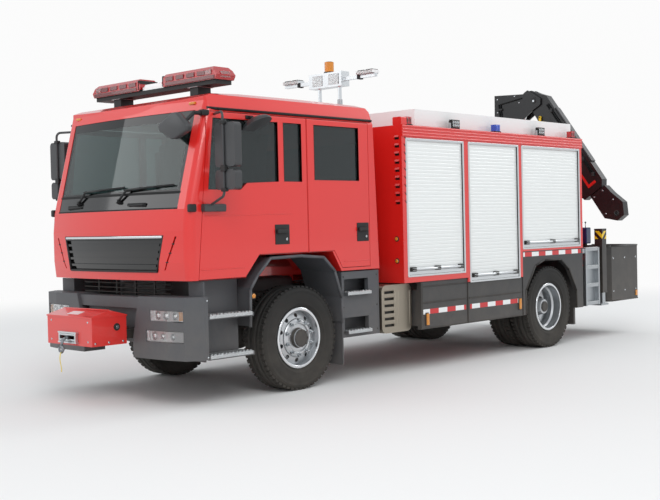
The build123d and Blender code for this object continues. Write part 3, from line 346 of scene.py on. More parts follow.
FINISHES = {}


# Shapes

def verts_in(geometry):
    """The vertices among what a bmesh operator gives back."""
    return [v for v in geometry if isinstance(v, bmesh.types.BMVert)]


def all_of(shape):
    """Everything in a shape, as the bmesh operators ask for it."""
    return shape.verts[:] + shape.edges[:] + shape.faces[:]


def cuboid(low, high, bevel=0.004, segments=2):
    """A block between two corners, measured from the front axle, with its edges broken."""
    shape = bmesh.new()
    a, b = row(*low), row(*high)
    bmesh.ops.create_cube(shape, size=1.0)
    bmesh.ops.scale(shape, vec=[abs(b[i] - a[i]) for i in range(3)], verts=shape.verts)
    bmesh.ops.translate(shape, vec=(a + b) / 2, verts=shape.verts)
    if bevel:
        bmesh.ops.bevel(shape, geom=shape.edges[:], offset=bevel, segments=segments, profile=0.5,
                        affect="EDGES", material=-1)
    return shape


def rod(start, end, radius, end_radius=None, sides=20, bevel=0.0):
    """A round bar or cone between two points, measured from the front axle."""
    shape = bmesh.new()
    a, b = row(*start), row(*end)
    bmesh.ops.create_cone(shape, cap_ends=True, segments=sides, radius1=radius,
                          radius2=radius if end_radius is None else end_radius, depth=(b - a).length)
    if bevel:
        rims = [e for e in shape.edges if abs(e.verts[0].co.z - e.verts[1].co.z) < 1e-6]
        bmesh.ops.bevel(shape, geom=rims, offset=bevel, segments=2, profile=0.5, affect="EDGES", material=-1)
    turn = (b - a).to_track_quat("Z", "Y").to_matrix().to_4x4()
    bmesh.ops.transform(shape, matrix=Matrix.Translation((a + b) / 2) @ turn, verts=shape.verts)
    return shape


def slab(outline, side, low, high, bevel=0.004):
    """A plate with an outline seen along X, Y or Z, measured from the front axle."""
    shape = bmesh.new()
    axis = "XYZ".index(side)

    def at(point, depth):
        place = list(point)
        place.insert(axis, depth)
        return row(*place)

    face = shape.faces.new([shape.verts.new(at(point, low)) for point in outline])
    lifted = bmesh.ops.extrude_face_region(shape, geom=[face])["geom"]
    step = [high - low if i == axis else 0 for i in range(3)]
    bmesh.ops.translate(shape, vec=step, verts=verts_in(lifted))
    bmesh.ops.recalc_face_normals(shape, faces=shape.faces)
    if bevel:
        bmesh.ops.bevel(shape, geom=shape.edges[:], offset=bevel, segments=2, profile=0.5, affect="EDGES",
                        material=-1)
    return shape


def turned(points, centre, axis, steps):
    """A closed outline of points, measured from the front axle, turned once about an axis."""
    shape = bmesh.new()
    loop = [shape.verts.new(row(*point)) for point in points]
    edges = [shape.edges.new(pair) for pair in zip(loop, loop[1:] + loop[:1])]
    bmesh.ops.spin(shape, geom=loop + edges, cent=row(*centre), axis=axis, angle=2 * math.pi, steps=steps,
                   use_merge=True)
    bmesh.ops.recalc_face_normals(shape, faces=shape.faces)
    return shape


def spun(profile, centre, steps=64):
    """A closed outline of (radius, y) points turned about a wheel's axis."""
    x, y, z = centre
    return turned([(x + radius, y + along, z) for radius, along in profile], centre, (0, 1, 0), steps)


def ringed(shape, centre, axis, count):
    """The same shape as many times as asked, at even steps round an axis."""
    bmesh.ops.spin(shape, geom=all_of(shape), cent=row(*centre), axis=axis,
                   angle=2 * math.pi * (count - 1) / count, steps=count - 1, use_duplicate=True)


def dome(centre, radii, facing, rings=10):
    """Half an ellipsoid, closed by a flat back, that bulges along one axis."""
    shape = bmesh.new()
    bmesh.ops.create_uvsphere(shape, u_segments=24, v_segments=rings * 2, radius=1.0)
    bmesh.ops.bisect_plane(shape, geom=all_of(shape), plane_co=(0, 0, 0),
                           plane_no=(0, 0, -1), clear_outer=True)
    open_edges = [e for e in shape.edges if e.is_boundary]
    bmesh.ops.contextual_create(shape, geom=open_edges)
    bmesh.ops.scale(shape, vec=radii, verts=shape.verts)
    turn = Vector(facing).to_track_quat("Z", "Y").to_matrix().to_4x4()
    bmesh.ops.transform(shape, matrix=Matrix.Translation(row(*centre)) @ turn, verts=shape.verts)
    return shape


def join(piece, shape):
    """Add a shape to a piece, with the finishes that its faces have."""
    carrier = bpy.data.meshes.new("carrier")
    shape.to_mesh(carrier)
    shape.free()
    piece.from_mesh(carrier)
    bpy.data.meshes.remove(carrier)


def put(piece, shape, slot_number=0, smooth=False):
    """Add a shape to a piece, in one of the piece's finishes."""
    for face in shape.faces:
        face.material_index = slot_number
        face.smooth = smooth
    join(piece, shape)


def mirrored(piece):
    """The same piece on both sides of the truck."""
    twin = bmesh.ops.duplicate(piece, geom=all_of(piece))["geom"]
    verts = verts_in(twin)
    faces = [f for f in twin if isinstance(f, bmesh.types.BMFace)]
    bmesh.ops.scale(piece, vec=(1, -1, 1), verts=verts)
    bmesh.ops.reverse_faces(piece, faces=faces)


def stand(name, piece, body, *finishes):
    """Make a bmesh an object that moves with one of the truck's bodies."""
    mesh = bpy.data.meshes.new(name)
    piece.to_mesh(mesh)
    piece.free()
    for key in finishes:
        mesh.materials.append(paint(key))
    made = bpy.data.objects.new(name, mesh)
    bpy.context.scene.collection.objects.link(made)
    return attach(made, body)


def on_side(piece, side):
    """Turn a left-hand piece into a right-hand one where that is asked for."""
    if side < 0:
        bmesh.ops.scale(piece, vec=(1, -1, 1), verts=piece.verts)
        bmesh.ops.reverse_faces(piece, faces=piece.faces)


def dressed_copy(name, node, body, finishes, choose):
    """A copy of a CAD node that stands for it, with a finish chosen for each face by where it lies."""
    piece = bmesh.new()
    piece.from_mesh(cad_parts[node].data)
    bmesh.ops.remove_doubles(piece, verts=piece.verts, dist=1e-5)
    for face in piece.faces:
        face.material_index = choose(face.calc_center_median() - row(0, 0, 0))
        face.smooth = False
    made = stand(name, piece, body, *finishes)
    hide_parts(node)
    return made


# Pieces

class TruckSizes(bpy.types.PropertyGroup):
    """Sizes of the dressing that a user may change."""
    slat_pitch: FloatProperty(name="Slat pitch", description="Height of one shutter slat", default=0.040,
                              min=0.02, max=0.12, unit="LENGTH")
    lug_depth: FloatProperty(name="Lug depth", description="Height of the tyre's shoulder lugs", default=0.012,
                             min=0.004, max=0.02, unit="LENGTH")
    lug_count: IntProperty(name="Lugs", description="Shoulder lugs round each tyre edge", default=54, min=24,
                           max=90)
    nut_count: IntProperty(name="Wheel nuts", description="Nuts on each wheel", default=10, min=6, max=12)
    tape_height: FloatProperty(name="Tape height", description="Height of the reflective tape", default=0.055,
                               min=0.03, max=0.1, unit="LENGTH")
    seal_width: FloatProperty(name="Seal width", description="Width of the rubber round each side window",
                              default=0.024, min=0.01, max=0.04, unit="LENGTH")


class TruckColours(bpy.types.PropertyGroup):
    """Colours that a user may change, as sRGB values."""
    truck_red: FloatVectorProperty(name="Truck red", description="Enamel of the cab and the body",
                                   default=(0.86, 0.13, 0.11), min=0, max=1, subtype="COLOR_GAMMA")
    plastic_grey: FloatVectorProperty(name="Plastic grey", description="Bumper, arches and steps",
                                      default=(0.29, 0.30, 0.32), min=0, max=1, subtype="COLOR_GAMMA")


class TRUCK_OT_finishes(bpy.types.Operator):
    """Give every CAD node its finish"""
    bl_idname = "truck.finishes"
    bl_label = "Finishes"

    def execute(self, context):
        FINISHES.update({key: made.name for key, made in all_finishes(context.scene.truck_colours).items()})
        wanted = dict(NODE_FINISH)
        for side in SIDES:
            wanted.update({f"{stem}_{side}": key for stem, key in SIDE_FINISH.items()})
            wanted.update({f"shutter_{side}_{k}": "slat" for k in SHUTTERS})
        for node_name, key in wanted.items():
            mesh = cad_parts[node_name].data
            mesh.materials.clear()
            mesh.materials.append(paint(key))
        return {"FINISHED"}


class TRUCK_OT_tyres(bpy.types.Operator):
    """Tyres with grooved treads, shoulder lugs and ringed side walls"""
    bl_idname = "truck.tyres"
    bl_label = "Tyres"

    def tyre(self, centre, sizes):
        piece = bmesh.new()
        outer = WHEEL_Z
        base = outer - sizes.lug_depth
        half = [(0.290, 0.114), (0.306, 0.114), (0.322, 0.130), (0.340, 0.139), (0.344, 0.142), (0.352, 0.142),
                (0.357, 0.142), (0.385, 0.147), (0.410, 0.149), (0.440, 0.148), (0.462, 0.145), (0.466, 0.147),
                (0.474, 0.146), (0.492, 0.136), (base, 0.122), (base, 0.088), (outer, 0.084), (outer, 0.050),
                (base, 0.046), (base, 0.036), (outer, 0.032)]
        profile = [(r, -y) for r, y in half] + [(r, y) for r, y in reversed(half)]
        put(piece, spun(profile, centre, 96), smooth=True)
        # Shoulder lugs, one shape turned round the tread
        for edge in (1, -1):
            lug = bmesh.new()
            bmesh.ops.create_cube(lug, size=1.0)
            bmesh.ops.scale(lug, vec=(0.040, 0.046, sizes.lug_depth + 0.010), verts=lug.verts)
            bmesh.ops.bevel(lug, geom=lug.edges[:], offset=0.003, segments=1, profile=0.5, affect="EDGES",
                            material=-1)
            bmesh.ops.translate(lug, vec=row(centre[0], centre[1] + edge * 0.110,
                                             centre[2] + base + (sizes.lug_depth - 0.010) / 2), verts=lug.verts)
            ringed(lug, centre, (0, 1, 0), sizes.lug_count)
            put(piece, lug)
        return piece

    def execute(self, context):
        sizes = context.scene.truck_sizes
        for side, s in SIDES.items():
            front = stand(f"grooved_tyre_front_{side}", self.tyre((0, s * 0.950, WHEEL_Z), sizes),
                          f"wheel_front_{side}", "tyre")
            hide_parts(f"tyre_front_{side}")
            pair = self.tyre((REAR_AXLE_X, s * 1.090, WHEEL_Z), sizes)
            join(pair, self.tyre((REAR_AXLE_X, s * 0.760, WHEEL_Z), sizes))
            rear = stand(f"grooved_tyres_rear_{side}", pair, f"wheels_rear_{side}", "tyre")
            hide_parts(f"tyres_rear_{side}")
        return {"FINISHED"}


class TRUCK_OT_wheel_nuts(bpy.types.Operator):
    """Nut rings, hub caps and bright rim edges"""
    bl_idname = "truck.wheel_nuts"
    bl_label = "Wheel nuts and hubs"

    def nut_ring(self, centre, radius, y0, y1, count):
        ring = bmesh.new()
        start = (centre[0], y0, centre[2] + radius)
        put(ring, rod(start, (start[0], y1, start[2]), 0.022, sides=6, bevel=0.002))
        put(ring, rod((start[0], y1, start[2]), (start[0], y1 + (y1 - y0) * 0.7, start[2]), 0.011, sides=12,
                      bevel=0.002))
        ringed(ring, centre, (0, 1, 0), count)
        return ring

    def execute(self, context):
        count = context.scene.truck_sizes.nut_count
        for side, s in SIDES.items():
            centre = (0, 0, WHEEL_Z)
            piece = bmesh.new()
            face = s * (0.950 + 0.108)
            put(piece, self.nut_ring(centre, 0.1675, face - s * 0.016, face + s * 0.022, count))
            # A bright ring turned round the nuts, the dark well of the hub and its cap
            ring = [(0.138, 0.100), (0.142, 0.118), (0.150, 0.122), (0.190, 0.104), (0.196, 0.092),
                    (0.188, 0.090)]
            put(piece, spun([(r, s * (0.950 + y)) for r, y in ring], centre, 72), 1, True)
            lip = [(0.274, 0.127), (0.276, 0.131), (0.303, 0.131), (0.307, 0.122), (0.303, 0.118),
                   (0.290, 0.124)]
            put(piece, spun([(r, s * (0.950 + y)) for r, y in lip], centre, 96), 2, True)
            put(piece, rod((0, face - s * 0.002, WHEEL_Z), (0, face + s * 0.054, WHEEL_Z), 0.104, 0.086, 48,
                           0.004), 3)
            bolts = bmesh.new()
            put(bolts, rod((0, face + s * 0.050, WHEEL_Z + 0.080), (0, face + s * 0.060, WHEEL_Z + 0.080),
                           0.010,
                           sides=6), 3)
            ringed(bolts, centre, (0, 1, 0), 8)
            put(piece, bolts, 3)
            stand(f"wheel_nuts_front_{side}", piece, f"wheel_front_{side}", "nut", "wheel", "chrome", "iron")
            # The rear nuts stand in the dish of the outer wheel
            centre = (REAR_AXLE_X, 0, WHEEL_Z)
            dish = s * (0.925 + 0.016)
            piece = bmesh.new()
            put(piece, self.nut_ring(centre, 0.1675, dish - s * 0.004, dish + s * 0.034, count))
            put(piece, spun([(r, s * (1.090 + y)) for r, y in lip], centre, 96), 1, True)
            cap_y = s * (0.925 + 0.236)
            put(piece, rod((REAR_AXLE_X, cap_y - s * 0.004, WHEEL_Z), (REAR_AXLE_X, cap_y + s * 0.006, WHEEL_Z),
                           0.070,
                           0.062, 48, 0.003), 2)
            stand(f"wheel_nuts_rear_{side}", piece, f"wheels_rear_{side}", "nut", "chrome", "iron")
        return {"FINISHED"}


class TRUCK_OT_shutters(bpy.types.Operator):
    """Roller shutters of slats, each with its bottom rail, grab bar and latches"""
    bl_idname = "truck.shutters"
    bl_label = "Roller shutters"

    def execute(self, context):
        pitch = context.scene.truck_sizes.slat_pitch
        for side, s in SIDES.items():
            for number, (x0, x1, sill, travel) in SHUTTERS.items():
                foot = sill + 0.003
                curtain = bmesh.new()
                y = BODY_SIDE - 0.014
                put(curtain, cuboid((x0 + 0.012, y - 0.022, foot), (x1 - 0.012, y - 0.004, SHUTTER_TOP), 0))
                # One slat's bowed face, repeated up the curtain
                slat = bmesh.new()
                bow = [(0.0, 0.0), (0.0016, 0.002), (0.0024, 0.010), (0.0026, 0.020), (0.0024, 0.030),
                       (0.0016, 0.038), (0.0, 0.0398)]
                line = [slat.verts.new(row(x0 + 0.014, y - 0.004 + out, foot + 0.040 + up * pitch / 0.040))
                        for out, up in bow]
                edges = [slat.edges.new(pair) for pair in zip(line, line[1:])]
                drawn = bmesh.ops.extrude_edge_only(slat, edges=edges)["geom"]
                bmesh.ops.translate(slat, vec=(x1 - x0 - 0.028, 0, 0),
                                    verts=verts_in(drawn))
                count = int((SHUTTER_TOP - foot - 0.040) / pitch)
                first = slat.verts[:] + slat.edges[:] + slat.faces[:]
                for step in range(1, count):
                    copy = bmesh.ops.duplicate(slat, geom=first)["geom"]
                    bmesh.ops.translate(slat, vec=(0, 0, step * pitch),
                                        verts=verts_in(copy))
                slat.normal_update()
                slat.faces.ensure_lookup_table()
                if slat.faces[0].normal.y < 0:
                    bmesh.ops.reverse_faces(slat, faces=slat.faces)
                put(curtain, slat, 0, True)
                on_side(curtain, s)
                made = stand(f"slatted_curtain_{side}_{number}", curtain, f"roller_{side}_{number}", "slat")
                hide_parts(f"shutter_{side}_{number}")
                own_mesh(made)
                # The bottom rail, its grab bar and its latches, as a piece of their own
                rail = bmesh.new()
                put(rail, cuboid((x0 + 0.014, y - 0.003, foot), (x1 - 0.014, y + 0.010, sill + 0.042), 0.003))
                grip_y, grip_z = y + 0.026, sill + 0.062
                put(rail, rod((x0 + 0.060, grip_y, grip_z), (x1 - 0.060, grip_y, grip_z), 0.014, sides=24,
                              bevel=0.003), 1, True)
                for x in (x0 + 0.090, (x0 + x1) / 2, x1 - 0.090):
                    put(rail, cuboid((x - 0.045, y - 0.002, sill + 0.038), (x + 0.045, y + 0.034, sill + 0.088),
                                     0.008), 2)
                    put(rail, rod((x - 0.030, y + 0.036, sill + 0.063), (x + 0.030, y + 0.036, sill + 0.063),
                                  0.008,
                                  sides=12, bevel=0.002), 2, True)
                put(rail, cuboid((x0 + 0.014, y + 0.001, sill - 0.001), (x1 - 0.014, y + 0.008, foot + 0.006),
                                 0.001),
                    2)
                on_side(rail, s)
                stand(f"shutter_rail_{side}_{number}", rail, f"roller_{side}_{number}", "bright", "bright",
                      "matt_black")
        return {"FINISHED"}


class TRUCK_OT_body_trim(bpy.types.Operator):
    """Shutter guides, gutter ribs, reflective tape, skirt joints and side markers"""
    bl_idname = "truck.body_trim"
    bl_label = "Body trim"

    def execute(self, context):
        tape = context.scene.truck_sizes.tape_height
        y = BODY_SIDE
        piece = bmesh.new()
        for x0, x1, sill, _ in SHUTTERS.values():
            for x, seal in ((x0, x0 + 0.020), (x1, x1 - 0.020)):
                low, high = sorted((x, seal))
                put(piece, cuboid((low - 0.004, y - 0.012, sill - 0.012), (high + 0.004, y + 0.004, 2.566),
                                  0.003))
            put(piece, cuboid((x0, y - 0.010, 2.548), (x1, y + 0.006, 2.574), 0.004))
            put(piece, cuboid((x0, y - 0.006, sill - 0.020), (x1, y + 0.006, sill + 0.001), 0.003))
            # The black brush seal that runs down each guide
            for x in (x0 + 0.020, x1 - 0.026):
                put(piece, cuboid((x, y - 0.013, sill + 0.002), (x + 0.006, y - 0.001, 2.548), 0.001), 1)
        # Ribs pressed along the gutter
        for z in (2.592, 2.626, 2.660, 2.694):
            put(piece, cuboid((-5.252, y + 0.010, z), (-1.458, y + 0.020, z + 0.013), 0.005), 2)
        # Reflective tape on the skirt and under the rear shutter
        put(piece, cuboid((-2.60, y - 0.015, 0.650 - tape / 2), (-1.78, y - 0.0125, 0.650 + tape / 2), 0), 3)
        put(piece, cuboid((-3.74, y - 0.015, 0.650 - tape / 2), (-2.68, y - 0.0125, 0.650 + tape / 2), 0), 3)
        put(piece, cuboid((-5.21, y - 0.007, 1.215 - tape / 2), (-3.81, y - 0.0045, 1.215 + tape / 2), 0), 3)
        # Pressed edges and the joint of the skirt's two panels
        for x0, x1 in ((-2.62, -1.77), (-3.76, -2.66)):
            put(piece, cuboid((x0, y - 0.016, 0.742), (x1, y - 0.008, 0.762), 0.004), 4)
            put(piece, cuboid((x0, y - 0.016, 0.925), (x1, y - 0.006, 0.940), 0.004), 4)
            put(piece, cuboid((x0, y - 0.016, 0.462), (x1, y - 0.010, 0.474), 0.003), 4)
        put(piece, cuboid((-2.650, y - 0.016, 0.460), (-2.630, y - 0.005, 0.938), 0.004), 4)
        put(piece, cuboid((-1.790, y - 0.016, 0.460), (-1.752, y - 0.005, 0.980), 0.004), 4)
        arch = [(-3.862, 0.470), (-3.862, 0.770), (-4.086, 1.066), (-4.300, 1.131), (-4.700, 1.121),
                (-4.901, 0.990),
                (-5.086, 0.700), (-5.086, 0.470)]
        for (xa, za), (xb, zb) in zip(arch, arch[1:]):
            put(piece, rod((xa, y - 0.008, za), (xb, y - 0.008, zb), 0.012, sides=10), 4, True)
        # Amber side markers on dark feet
        for x, z in ((-1.86, 0.565), (-3.72, 0.610)):
            put(piece, cuboid((x - 0.030, y - 0.016, z - 0.075), (x + 0.030, y - 0.004, z + 0.075), 0.006), 4)
            put(piece, cuboid((x - 0.024, y - 0.006, z - 0.066), (x + 0.024, y + 0.010, z + 0.066), 0.008), 5)
        # Two round lamps low on the body's front wall, set in dark rings
        for z in (1.472, 1.232):
            put(piece, rod((-1.463, 1.158, z), (-1.450, 1.158, z), 0.030, 0.027, 28, 0.003), 4)
            put(piece, dome((-1.451, 1.158, z), (0.021, 0.021, 0.010), (1, 0, 0), 6), 5, True)
        # Rivets of the corner posts
        for x in (-1.462, -5.240):
            for i in range(18):
                z = 1.02 + i * 0.088
                put(piece, dome((x - 0.018 if x > -2 else x, y + 0.0005, z), (0.006, 0.006, 0.003), (0, 1, 0),
                                3), 2,
                    True)
        mirrored(piece)
        stand("body_trim", piece, "truck", "bright", "seal", "red", "tape", "matt_black", "amber")
        return {"FINISHED"}


class TRUCK_OT_louvres(bpy.types.Operator):
    """Black backs and hoods for the louvres beside the cab, and the rear wall's ribs"""
    bl_idname = "truck.louvres"
    bl_label = "Louvres and rear wall"

    def execute(self, context):
        piece = bmesh.new()
        for i in range(9):
            z = 1.850 + i * 0.088
            put(piece, cuboid((-1.4775, 1.151, z + 0.001), (-1.470, 1.214, z + 0.047), 0), 0)
            put(piece, slab([(-1.475, z + 0.046), (-1.462, z + 0.050), (-1.446, z + 0.026),
                             (-1.449, z + 0.024)], "Y",
                            1.152, 1.213, 0.001), 1)
            # The same louvres show as dark slots on the side of the front post
            put(piece, slab([(-1.530, z + 0.004), (-1.498, z + 0.036), (-1.498, z + 0.046),
                             (-1.530, z + 0.020)], "Y",
                            1.2495, 1.2515, 0), 0)
        mirrored(piece)
        for y in (-0.95, -0.32, 0.32, 0.95):
            put(piece, cuboid((-5.262, y - 0.030, 1.10), (-5.249, y + 0.030, 2.54), 0.005), 1)
        for z in (1.12, 1.82, 2.52):
            put(piece, cuboid((-5.260, -1.20, z - 0.020), (-5.249, 1.20, z + 0.020), 0.005), 1)
        stand("louvres_and_rear_ribs", piece, "truck", "seal", "red")
        return {"FINISHED"}


def nose_x(y, z):
    """How far forward the cab's crowned, leaning front stands at one place."""
    lean = 0.020 + 0.259 * (z - 1.820) if z > 1.820 else 0.020 * max(0.0, (z - 1.620) / 0.200)
    return 1.500 - lean - y * y / 15.67


def crown_strip(z0, z1, half, out, depth, bevel=0.002):
    """A level strip that follows the crown of the cab's front, from side to side."""
    ys = [half * (i / 10 - 1) for i in range(21)]
    z = (z0 + z1) / 2
    ahead = [(nose_x(y, z) + out, y) for y in ys]
    behind = [(x - depth, y) for x, y in reversed(ahead)]
    return slab(ahead + behind, "Z", z0, z1, bevel)


class TRUCK_OT_cab_seals(bpy.types.Operator):
    """Rubber round the side windows"""
    bl_idname = "truck.cab_seals"
    bl_label = "Window seals"

    def seal(self, outline, width):
        """A ring between the window's cut and a smaller pane."""
        shape = bmesh.new()
        pane = shape.faces.new([shape.verts.new(row(x, 1.098, z)) for x, z in outline])
        bmesh.ops.inset_region(shape, faces=[pane], thickness=width, use_even_offset=True,
                               use_boundary=True)
        shape.faces.ensure_lookup_table()
        pane = max(shape.faces, key=lambda f: f.calc_area())
        bmesh.ops.delete(shape, geom=[pane], context="FACES_ONLY")
        drawn = bmesh.ops.extrude_face_region(shape, geom=shape.faces[:])["geom"]
        bmesh.ops.translate(shape, vec=(0, 0.024, 0), verts=verts_in(drawn))
        bmesh.ops.recalc_face_normals(shape, faces=shape.faces)
        return shape

    def execute(self, context):
        width = context.scene.truck_sizes.seal_width
        front = [(1.180, 1.995), (1.105, 2.655), (0.280, 2.655), (0.280, 2.078), (0.700, 2.060), (0.780, 1.995)]
        quarter = [(0.205, 2.080), (0.205, 2.655), (-0.045, 2.655), (-0.045, 2.080)]
        rear = [(-0.225, 2.100), (-0.225, 2.655), (-0.900, 2.655), (-0.900, 2.100)]
        for side, s in SIDES.items():
            for door, windows in (("front", (front, quarter)), ("rear", (rear,))):
                piece = bmesh.new()
                for outline in windows:
                    put(piece, self.seal(outline, width))
                on_side(piece, s)
                stand(f"window_seals_{door}_{side}", piece, f"{door}_door_{side}", "seal")
        return {"FINISHED"}


class TRUCK_OT_door_trim(bpy.types.Operator):
    """Door handles, pressed creases, drip rails, and the covers of the mirror feet"""
    bl_idname = "truck.door_trim"
    bl_label = "Door trim"

    def execute(self, context):
        for side, s in SIDES.items():
            for door, x0, x1 in (("front", 0.150, 0.345), ("rear", -1.035, -0.850)):
                piece = bmesh.new()
                put(piece, cuboid((x0, CAB_SIDE - 0.004, 1.465), (x1, CAB_SIDE + 0.006, 1.660), 0.005), 0)
                put(piece, cuboid((x0 + 0.030, CAB_SIDE + 0.004, 1.570), (x1 - 0.010, CAB_SIDE + 0.034, 1.612),
                                  0.012,
                                  3), 0)
                put(piece, rod((x0 + 0.045, CAB_SIDE + 0.004, 1.515), (x0 + 0.045, CAB_SIDE + 0.012, 1.515),
                               0.014,
                               sides=24, bevel=0.002), 2)
                if door == "front":
                    put(piece, cuboid((0.745, CAB_SIDE - 0.002, 1.256), (1.290, CAB_SIDE + 0.004, 1.268),
                                      0.003), 1)
                    put(piece, slab([(1.225, 1.746), (0.10, 1.762), (0.10, 1.772), (1.225, 1.756)], "Y",
                                    CAB_SIDE - 0.002, CAB_SIDE + 0.004, 0.002), 1)
                else:
                    put(piece, cuboid((-1.045, CAB_SIDE - 0.002, 1.256), (-0.640, CAB_SIDE + 0.004, 1.268),
                                      0.003), 1)
                on_side(piece, s)
                stand(f"door_trim_{door}_{side}", piece, f"{door}_door_{side}", "matt_black", "red", "nut")
        piece = bmesh.new()
        put(piece, rod((-1.120, 1.116, 2.742), (1.050, 1.116, 2.742), 0.013, sides=12, bevel=0.004), 0, True)
        put(piece, rod((1.050, 1.116, 2.742), (1.150, 1.090, 2.748), 0.013, sides=12), 0, True)
        # Covers over the ends of the mirror arms, on the pillars ahead of the doors
        put(piece, cuboid((1.328, 1.085, 1.790), (1.410, 1.135, 1.862), 0.014, 3), 1)
        mirrored(piece)
        stand("drip_rails", piece, "truck", "seal", "matt_black")
        return {"FINISHED"}


class TRUCK_OT_front_trim(bpy.types.Operator):
    """Wipers, grille frame and chrome strip, corner vents and grab handles on the cab's front"""
    bl_idname = "truck.front_trim"
    bl_label = "Front trim"

    def execute(self, context):
        piece = bmesh.new()
        # Each wiper: an arm from its spindle and a blade along the foot of the glass
        for y in (-0.560, 0.130):
            hub = (nose_x(y, 1.912) + 0.012, y, 1.912)
            knee = (nose_x(y + 0.12, 2.020) + 0.030, y + 0.12, 2.020)
            end = (nose_x(y + 0.52, 2.035) + 0.026, y + 0.52, 2.035)
            put(piece, rod((hub[0] - 0.02, y, 1.905), (hub[0] + 0.018, y, 1.918), 0.024, 0.019, 20, 0.003), 0,
                True)
            put(piece, rod(hub, knee, 0.013, 0.010, 12), 0, True)
            put(piece, rod(knee, end, 0.010, 0.006, 12), 0, True)
            for share in range(6):
                ya, yb = y + 0.06 + share * 0.115, y + 0.06 + (share + 1) * 0.115
                za, zb = 2.022 + share * 0.004, 2.022 + (share + 1) * 0.004
                put(piece, rod((nose_x(ya, za) + 0.012, ya, za), (nose_x(yb, zb) + 0.012, yb, zb), 0.009,
                               sides=8), 1)
        # Recessed grab handles in the scuttle panel
        for y in (-0.62, 0.40):
            x = nose_x(y, 1.872)
            put(piece, cuboid((x - 0.012, y - 0.14, 1.852), (x + 0.002, y + 0.14, 1.892), 0.006), 1)
            put(piece, rod((x + 0.012, y - 0.115, 1.872), (x + 0.012, y + 0.115, 1.872), 0.009, sides=12,
                           bevel=0.002),
                0, True)
            for end in (-0.115, 0.115):
                put(piece, rod((x - 0.006, y + end, 1.872), (x + 0.014, y + end, 1.872), 0.008, sides=12), 0,
                    True)
        # Chrome strip, black frame and lining of the grille, and the seal at the foot of the windscreen
        put(piece, crown_strip(1.558, 1.580, 0.783, 0.006, 0.030, 0.004), 2)
        put(piece, crown_strip(1.542, 1.556, 0.779, 0.000, 0.030), 0)
        put(piece, crown_strip(1.240, 1.256, 0.704, 0.000, 0.060), 0)
        put(piece, crown_strip(1.966, 1.988, 0.968, 0.003, 0.020), 1)
        put(piece, crown_strip(1.822, 1.836, 0.964, 0.003, 0.020), 1)
        for s in (1, -1):
            put(piece, slab([(s * 0.640, 1.242), (s * 0.699, 1.242), (s * 0.797, 1.582), (s * 0.738, 1.582)],
                            "X",
                            1.392, 1.430, 0.001), 1)
            put(piece, slab([(s * 0.694, 1.240), (s * 0.702, 1.240), (s * 0.801, 1.584), (s * 0.790, 1.584)],
                            "X",
                            1.395, 1.462, 0.001), 1)
            put(piece, rod((nose_x(0.70, 1.25) - 0.006, s * 0.701, 1.248), (nose_x(0.79, 1.57) - 0.006,
                                                                            s * 0.789, 1.574),
                           0.011, sides=12), 0, True)
            # Fins in the corner vents, and the vents that open to the side
            put(piece, slab([(s * 0.798, 1.266), (s * 0.811, 1.266), (s * 0.964, 1.568), (s * 0.946, 1.568)],
                            "X", 1.405,
                            1.432, 0.001), 1)
            for i in range(3):
                z, y = 1.33 + i * 0.085, 0.838 + i * 0.042
                put(piece, cuboid((1.425, s * y - 0.018, z), (nose_x(y, z) + 0.003, s * y + 0.018, z + 0.010),
                                  0.002), 0)
        # Clearance lamps on the roof's front edge
        for y in (-0.92, 0.92):
            put(piece, cuboid((nose_x(y, 2.80) - 0.02, y - 0.040, 2.786), (nose_x(y, 2.80) + 0.016, y + 0.040,
                                                                           2.812),
                              0.008, 3), 3)
        stand("front_trim", piece, "truck", "matt_black", "seal", "chrome", "amber")
        return {"FINISHED"}


